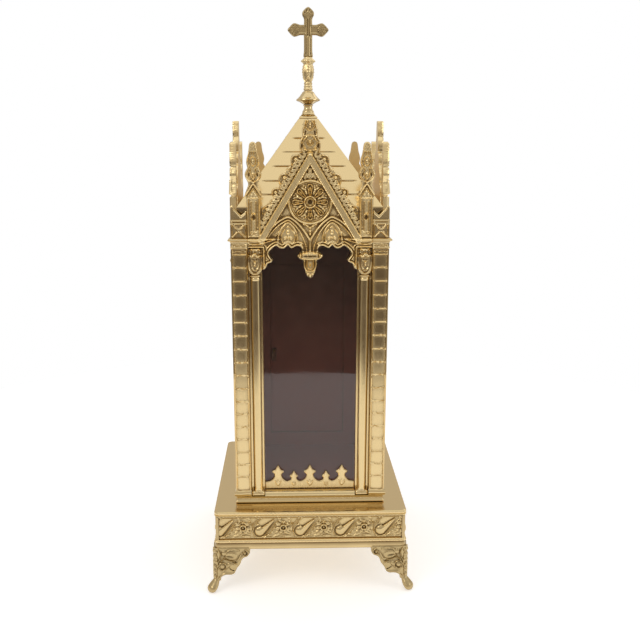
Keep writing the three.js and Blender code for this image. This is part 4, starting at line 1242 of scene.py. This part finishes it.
def noise(tree, coords, scale, detail, stretch=(1, 1, 1)):
    mapping = add_node(tree, "ShaderNodeMapping", {"Vector": coords, "Scale": stretch})
    inputs = {"Vector": mapping.outputs["Vector"], "Scale": scale, "Detail": detail}
    return add_node(tree, "ShaderNodeTexNoise", inputs).outputs["Fac"]


def bump(tree, height, strength, distance):
    """The normal of a surface that is raised by height, up to distance metres."""
    node = add_node(tree, "ShaderNodeBump", {"Height": height, "Strength": strength, "Distance": distance})
    return node.outputs["Normal"]


def scaled_sum(tree, value, factor, start):
    """value * factor + start."""
    inputs = {0: value, 1: factor, 2: start}
    return add_node(tree, "ShaderNodeMath", inputs, operation="MULTIPLY_ADD").outputs[0]


def share_between(tree, value, start, end):
    """0 where value is start or beyond it, 1 at end, and in proportion between."""
    return add_node(tree, "ShaderNodeMapRange", {0: value, 1: start, 2: end}).outputs[0]


def blend(tree, share, colour, other, kind="MIX"):
    inputs = {0: share, 1: colour, 2: other}
    return add_node(tree, "ShaderNodeMixRGB", inputs, blend_type=kind).outputs[0]


def blank_material(name):
    """A material with its node tree, its shader and its object coordinates."""
    material = bpy.data.materials.new(name)
    material.use_nodes = True
    tree = material.node_tree
    coords = add_node(tree, "ShaderNodeTexCoord").outputs["Object"]
    return material, tree, tree.nodes["Principled BSDF"], coords


def brass(name, bright, dark, rough, haze, grain, grit):
    """Brass darkened in its recesses by patina and painted shade, and rubbed bright on its crests. haze is
    the spread of its roughness, grain the scale of its surface marks for each metre, and grit their strength."""
    material, tree, shader, coords = blank_material(name)
    hollow = add_node(tree, "ShaderNodeAttribute", attribute_name="hollow").outputs["Fac"]
    cloud = noise(tree, coords, 38, 4)
    marks = noise(tree, coords, grain, 4)
    # Hollowness darkens the colour and roughens the finish: patina, and painted shade in the recesses.
    patina_and_shade = scaled_sum(tree, cloud, 0.34, hollow)
    middle = tuple(0.62 * a + 0.38 * b for a, b in zip(bright, dark))
    colour = ramp(tree, patina_and_shade, [(0.0, bright), (0.32, bright), (0.58, middle), (1.0, dark)])
    shine = scaled_sum(tree, patina_and_shade, 0.34, rough)
    feed(tree, shader, {"Base Color": colour, "Roughness": scaled_sum(tree, marks, haze, shine),
                        "Normal": bump(tree, marks, grit, 0.0004), "Metallic": 1.0})
    return material


def steel_material():
    """Brushed steel for screws, pins and the stud."""
    material, tree, shader, coords = blank_material("steel")
    marks = noise(tree, coords, 900, 3, (1, 1, 6))
    tone = ramp(tree, marks, [(0.3, (0.42, 0.41, 0.39)), (0.7, (0.58, 0.57, 0.55))])
    rough = ramp(tree, marks, grey((0.3, 0.28), (0.8, 0.46)))
    feed(tree, shader, {"Base Color": tone, "Roughness": rough, "Metallic": 1.0})
    return material


def velvet_material():
    """A wine-brown pile, lightened towards the chamber's foot as a painted reflection, that catches light at
    its edges.
    """
    material, tree, shader, coords = blank_material("velvet")
    nap = noise(tree, coords, 60, 3)
    pile = noise(tree, coords, 2600, 2)
    height = add_node(tree, "ShaderNodeSeparateXYZ", {"Vector": coords}).outputs["Z"]
    # Painted reflection: the pile is lightened towards its foot.
    painted_reflection_share = share_between(tree, height, 0.24, 0.09)
    deep = ramp(tree, nap, [(0.3, (0.165, 0.088, 0.058)), (0.7, (0.225, 0.118, 0.080))])
    feed(tree, shader, {
        "Base Color": blend(tree, painted_reflection_share, deep, (0.46, 0.17, 0.13, 1)),
        "Normal": bump(tree, pile, 0.3, 0.0004), "Roughness": 0.95, "Sheen Weight": 0.5,
        "Sheen Roughness": 0.4, "Sheen Tint": (0.70, 0.46, 0.38, 1)})
    return material


def glass_material():
    """A clear pane with a trace of unevenness."""
    material, tree, shader, coords = blank_material("glass")
    waves = noise(tree, coords, 22, 2)
    uneven = bump(tree, waves, 0.05, 0.001)
    smear = ramp(tree, noise(tree, coords, 45, 4), grey((0.35, 0.02), (0.75, 0.07)))
    feed(tree, shader, {"Normal": uneven, "Roughness": smear, "Base Color": (0.97, 0.98, 0.97, 1),
                        "Transmission Weight": 1.0, "IOR": 1.45})
    return material


def floor_material():
    """A matt white surface that glows a little, so that it reads as white as the room behind it."""
    material, tree, shader, coords = blank_material("floor")
    colour = ramp(tree, noise(tree, coords, 4, 2), grey((0.3, 0.80), (0.7, 0.83)))
    feed(tree, shader, {"Base Color": colour, "Roughness": 0.9, "Emission Color": (1, 1, 1, 1),
                        "Emission Strength": 0.44})
    return material


# Each brass: the colour of its crests and of its recesses, its roughness and haze, and its grain and grit.
POLISHED = brass("polished_brass", (0.715, 0.55, 0.287), (0.36, 0.245, 0.115), 0.09, 0.05, 160, 0.01)
CAST = brass("cast_brass", (0.77, 0.59, 0.305), (0.28, 0.19, 0.088), 0.20, 0.08, 600, 0.02)
# Lit and shaded copies of cast brass, as painted light and shade: lighter for the gables and baluster, darker
# for the friezes, and darker still for the feet and the cross.
LIT_BRASS = brass("lit_brass", (0.90, 0.71, 0.38), (0.30, 0.205, 0.095), 0.24, 0.08, 600, 0.02)
SHADED_BRASS = brass("shaded_brass", (0.62, 0.47, 0.235), (0.17, 0.112, 0.052), 0.18, 0.08, 600, 0.02)
DEEP_SHADED_BRASS = brass("deep_shaded_brass", (0.50, 0.38, 0.192), (0.085, 0.054, 0.025), 0.18, 0.08, 600, 0.02)
# A brown-black brass that paints shade on the latch tongue.
SHADE_DARK_BRASS = brass("shade_dark_brass", (0.15, 0.085, 0.055), (0.08, 0.05, 0.035), 0.40, 0.12, 600, 0.05)
STEEL = steel_material()
VELVET = velvet_material()
GLASS = glass_material()


# ---- Assembly ----
def dress_nodes(nodes, material, bevel=0.0):
    """Gives CAD nodes their material, and eases their sharp edges by bevel millimetres."""
    for piece in (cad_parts[node] for node in nodes):
        if not piece.data.materials:
            piece.data.materials.append(material)
        for slot in piece.material_slots:
            slot.material = material
        if bevel:
            modifier = piece.modifiers.new("eased_edges", "BEVEL")
            modifier.width = bevel * MM
            modifier.segments = 3
            modifier.limit_method = "ANGLE"
            modifier.angle_limit = math.radians(35)


def shade_chamber_side(node):
    """Paints shade on the face that a rear panel turns to the dark chamber, by darkening its colour."""
    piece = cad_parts[node]
    along = np.array([(piece.matrix_world @ vertex.co).y for vertex in piece.data.vertices]) / MM
    # Painted shade on the face turned to the chamber.
    set_hollow(piece.data, np.where(along < low(node, 1) + 0.4, CHAMBER_SHADE, 0))


def add_single(node, mesh, material, body="tower", turns=0):
    """Shows a mesh in the place of one CAD node."""
    add_piece(f"{node}_piece", mesh, material, body, [node], turns)


def place_around(prefix, names, mesh, material):
    """The same piece on each side or corner."""
    for turns, name in enumerate(names):
        add_single(f"{prefix}_{name}", mesh, material, turns=turns)


def build_plinth():
    top = plinth_top_mesh()
    add_piece("plinth_top_piece", top, POLISHED, "tower", ["plinth_top_plate"])
    add_single("plinth_frame", plinth_frame_mesh(), CAST)
    place_around("frieze", SIDES, frieze_mesh(), SHADED_BRASS)
    place_around("foot", CORNERS, foot_mesh(), DEEP_SHADED_BRASS)
    dress_nodes(["base_cover"], POLISHED, 0.3)
    dress_nodes(["tower_bolt"] + [f"foot_screw_{corner}" for corner in CORNERS], STEEL, 0.3)


def build_tower():
    add_single("tower_base", tower_base_mesh(), POLISHED)
    place_around("post", CORNERS, post_mesh(), POLISHED)
    place_around("gable", SIDES, gable_mesh(), LIT_BRASS)
    right = column_mesh()
    left = mirrored(right, "column_left")
    crest = cresting_mesh()
    for turns, side in enumerate(SIDES):
        add_single(f"column_{side}_right", right, POLISHED, turns=turns)
        add_single(f"column_{side}_left", left, POLISHED, turns=turns)
        if side != "back":
            add_single(f"cresting_{side}", crest, CAST, turns=turns)
    dress_nodes(["front_glass"], GLASS)
    dress_nodes(["ceiling_plate"], POLISHED, 0.2)
    dress_nodes(["side_panel_right", "side_panel_left", "rear_panel"], POLISHED, 0.25)
    shade_chamber_side("rear_panel")


def build_door():
    dress_nodes(["door_panel", "hinge_bracket", "hinge_pintle"], POLISHED, 0.25)
    shade_chamber_side("door_panel")
    # The latch tongue gets painted shade.
    dress_nodes(["latch_tongue"], SHADE_DARK_BRASS, 0.25)
    dress_nodes(["hinge_pin"], STEEL, 0.15)
    add_single("door_knob", knob_mesh(), POLISHED, "latch")


def build_roof():
    sheets = [f"roof_{side}" for side in SIDES]
    add_piece("roof_piece", roof_mesh(), POLISHED, "tower", sheets)
    add_single("apex_cap", apex_cap_mesh(), POLISHED)
    add_single("collar", collar_mesh(), POLISHED)
    add_single("baluster", baluster_mesh(), LIT_BRASS)
    add_single("cross", cross_mesh(), DEEP_SHADED_BRASS)
    dress_nodes(["finial_stud"], STEEL)
    dress_nodes(["finial_nut"], STEEL, 0.2)


# ---- Rear knob and velvet ----
def knob_mesh():
    """A turned knob with a coin-edged rim, on a round spindle along +Y whose inner end, in the
    chamber, is darkened as painted shade."""
    low_y, high_y = low("door_knob", 1), high("door_knob", 1)
    centre_x, centre_z = ((low("door_knob", axis) + high("door_knob", axis)) / 2 for axis in (0, 2))

    def rim(angles, along):
        return 0.14 * np.cos(22 * angles) * (57.0 < along < 59.4)

    profile = [(1.2, low_y), (1.2, low_y + 0.6), (1.2, 53.4), (2.4, 53.5), (2.6, 53.9), (2.3, 54.5),
               (1.9, 55.2), (2.0, 56), (2.9, 56.7), (3.6, 57.2), (3.75, 57.6), (3.75, 58.8), (3.5, 59.3),
               (2.6, 59.8), (1.2, high_y - 0.05), (0.3, high_y)]
    mesh = turned("door_knob", profile, 88, rim)
    # Painted shade on the spindle's inner end, in the chamber.
    set_hollow(mesh, np.where(along_axis(mesh, 2) < low_y + 0.9, CHAMBER_SHADE, 0))
    mesh.transform(Matrix.Rotation(-TURN / 4, 4, "X"))
    mesh.transform(Matrix.Translation((centre_x * MM, 0, centre_z * MM)))
    return mesh


PILE_CELL = 1.5
PILE_EDGE = 2.5


def pile_sheet(node, body, place, wide, tall, hole=None):
    """A lining of velvet on card. place(u, v, depth) gives the point that lies `depth` of its thickness,
    from 0 at its back to 1 at its face, at u across and v up. hole(u, v) is true where it is cut away."""
    nu, nv = (int(round(length / PILE_CELL)) + 1 for length in (wide, tall))
    u, v = np.meshgrid(np.linspace(0, wide, nu), np.linspace(0, tall, nv), indexing="ij")
    inward = np.minimum(np.minimum(u, wide - u), np.minimum(v, tall - v))
    depth = 0.66 + 0.26 * np.clip(inward / PILE_EDGE, 0, 1) ** 0.5 + 0.06 * np.sin(u / 7 + 1) * np.sin(v / 9)
    ids = np.arange(nu * nv).reshape(nu, nv)
    kept = np.ones((nu - 1, nv - 1), dtype=bool)
    if hole is not None:
        kept = ~hole((u[:-1, :-1] + u[1:, 1:]) / 2, (v[:-1, :-1] + v[1:, 1:]) / 2)
    quads = np.stack([ids[:-1, :-1], ids[1:, :-1], ids[1:, 1:], ids[:-1, 1:]], axis=-1)[kept]
    edges = {(a, b) for quad in quads.tolist() for a, b in zip(quad, quad[1:] + quad[:1])}
    border = [(a, b) for a, b in edges if (b, a) not in edges]
    points = np.concatenate([place(u.ravel(), v.ravel(), deep.ravel()) for deep in (0 * depth, depth)])
    behind = u.size
    faces = quads[:, ::-1].tolist() + (quads + behind).tolist()
    faces += [(a, b, b + behind, a + behind) for a, b in sorted(border)]
    used = np.unique([corner for face in faces for corner in face])
    renumber = np.zeros(2 * u.size, dtype=int)
    renumber[used] = np.arange(len(used))
    faces = [[int(renumber[corner]) for corner in face] for face in faces]
    mesh = new_mesh(f"{node}_piece", points[used], faces, 50)
    return add_piece(f"{node}_piece", mesh, VELVET, body, [node])


def flat_place(node, across, up, through, face_high, turned_in=(0, 0, 0)):
    """Where a point of a flat lining lies: across, up and through are the axes along its width, its height
    and its thickness, and face_high says whether its pile faces up that last axis. turned_in is how far its
    cloth reaches past the card at its low side, at its high side, and at its foot and head."""
    lowest = [low(node, axis) for axis in range(3)]
    highest = [high(node, axis) for axis in range(3)]
    lowest[across] -= turned_in[0]
    highest[across] += turned_in[1]
    lowest[up] -= turned_in[2]
    highest[up] += turned_in[2]

    def place(u, v, depth):
        xyz = np.zeros((len(u), 3))
        xyz[:, across], xyz[:, up] = lowest[across] + u, lowest[up] + v
        thick = highest[through] - lowest[through]
        xyz[:, through] = lowest[through] + thick * depth if face_high else highest[through] - thick * depth
        return xyz

    return place, highest[across] - lowest[across], highest[up] - lowest[up]


CARD_BEND, CARD_THICK = 1.5, 1.1


def folded_place(node):
    """The wall lining's strip runs from the front of the left wall, round the back, to the front of the
    right."""
    side, back = high(node, 0), high(node, 1)
    start, foot = low(node, 1), low(node, 2)
    corner = arc((-side + CARD_BEND, back - CARD_BEND), CARD_BEND, 180, 90, 7)
    path = np.concatenate([[(-side, start)], corner, corner[::-1] * (-1, 1), [(side, start)]])
    run = np.concatenate([[0], np.cumsum(np.hypot(*np.diff(path, axis=0).T))])
    heading = np.gradient(path, axis=0)
    heading /= np.linalg.norm(heading, axis=1)[:, None]

    def place(u, v, depth):
        (x, y), (dx, dy) = ([np.interp(u, run, along) for along in rows.T] for rows in (path, heading))
        return np.column_stack([x + dy * depth * CARD_THICK, y - dx * depth * CARD_THICK, foot + v])

    return place, run[-1], high(node, 2) - foot


DOORWAY_HALF, DOORWAY_FOOT, DOORWAY_HEAD = 33, 85, 241


def build_linings():
    """Velvet on the chamber's floor, on the door, and in one strip round the walls, cut out at the
    doorway."""
    place, wide, tall = flat_place("velvet_floor", 0, 1, 2, True)
    floor = pile_sheet("velvet_floor", "tower", place, wide, tall)

    place, wide, tall = flat_place("door_lining", 0, 2, 1, False, (0.5, 1.2, 0.6))
    door = pile_sheet("door_lining", "door", place, wide, tall)

    place, wide, tall = folded_place("velvet_walls")
    foot = low("velvet_walls", 2)
    left, right = wide / 2 - DOORWAY_HALF, wide / 2 + DOORWAY_HALF
    bottom, top = DOORWAY_FOOT - foot, DOORWAY_HEAD - foot

    def doorway(u, v):
        return (u > left) & (u < right) & (v > bottom) & (v < top)

    walls = pile_sheet("velvet_walls", "tower", place, wide, tall, doorway)


# ---- Camera, floor and light ----
TABLE_RADIUS = 0.62
AIM_POINT = (0, 0, 0.2)


def build_camera():
    """A small product camera, a little above the roof's foot and a trace to the left."""
    data = bpy.data.cameras.new("camera")
    data.lens = 44.34
    data.sensor_width = 36
    data.shift_x = 0.0153
    camera = bpy.data.objects.new("camera", data)
    camera.location = (-0.0155, -0.6373, 0.3466)
    camera.rotation_euler = (math.radians(77.17), 0, math.radians(-1.54))
    bpy.context.scene.collection.objects.link(camera)
    bpy.context.scene.camera = camera


def build_floor():
    """A round white table top."""
    bpy.ops.mesh.primitive_circle_add(vertices=128, radius=TABLE_RADIUS, fill_type="NGON")
    floor = bpy.context.object
    floor.name = "floor"
    floor.data.materials.append(floor_material())


def add_light(name, place, size, watts, colour=(1, 1, 1)):
    """A soft square light that points at the tower's middle."""
    data = bpy.data.lights.new(name, "AREA")
    data.size = size
    data.energy = watts
    data.color = colour
    light = bpy.data.objects.new(name, data)
    light.location = place
    aim = Vector(AIM_POINT) - light.location
    light.rotation_euler = aim.to_track_quat("-Z", "Y").to_euler()
    bpy.context.scene.collection.objects.link(light)


def build_world():
    """A pale room: bright overhead, softer at eye level, darker below it in front, with a tall window to
    the right and a fainter one to the left. The camera itself sees plain white."""
    world = bpy.data.worlds.new("room")
    world.use_nodes = True
    bpy.context.scene.world = world
    tree = world.node_tree
    tree.nodes.clear()
    direction = add_node(tree, "ShaderNodeTexCoord").outputs["Generated"]
    parts = add_node(tree, "ShaderNodeSeparateXYZ", {"Vector": direction}).outputs
    lower_wall = ramp(tree, share_between(tree, parts["Y"], -1.0, 1.0),
                      [(0.0, (0.125, 0.102, 0.090)), (0.26, (0.22, 0.19, 0.17)),
                       (0.65, (0.40, 0.38, 0.36)), (1.0, (0.60, 0.585, 0.57))])
    upward = ramp(tree, parts["Z"], grey((0.28, 0.0), (0.62, 0.7), (0.85, 1.0)))
    windows = ramp(tree, share_between(tree, parts["X"], -1.0, 1.0),
                   grey((0.03, 0.10), (0.06, 0.30), (0.09, 0.0), (0.895, 0.0), (0.92, 0.72), (0.97, 0.72),
                        (0.99, 0.2)))
    wall = blend(tree, share_between(tree, parts["Z"], -0.14, 0.06), lower_wall, (0.66, 0.61, 0.55, 1))
    sky = blend(tree, upward, wall, (0.68, 0.675, 0.665, 1))
    lit = blend(tree, 1.0, sky, windows, "LIGHTEN")
    room, plain = (add_node(tree, "ShaderNodeBackground", {"Color": colour, "Strength": 1.0}).outputs[0]
                   for colour in (lit, (1, 1, 1, 1)))
    seen = add_node(tree, "ShaderNodeLightPath").outputs["Is Camera Ray"]
    mixed = add_node(tree, "ShaderNodeMixShader", {0: seen, 1: room, 2: plain}).outputs[0]
    add_node(tree, "ShaderNodeOutputWorld", {"Surface": mixed})


def build_studio():
    build_camera()
    build_floor()
    build_world()
    add_light("overhead", (0, -0.1, 1.5), 1.4, 2.4)
    add_light("key", (-1.0, -0.9, 1.1), 0.6, 3, (1.0, 0.98, 0.94))
    add_light("fill", (1.2, -0.5, 0.7), 0.6, 1.6, (0.96, 0.98, 1.0))
    add_light("rear", (1.0, 1.1, 1.4), 0.9, 1.6)
    view = bpy.context.scene.view_settings
    view.view_transform = "Standard"


build_studio()
build_plinth()
build_tower()
build_door()
build_linings()
build_roof()
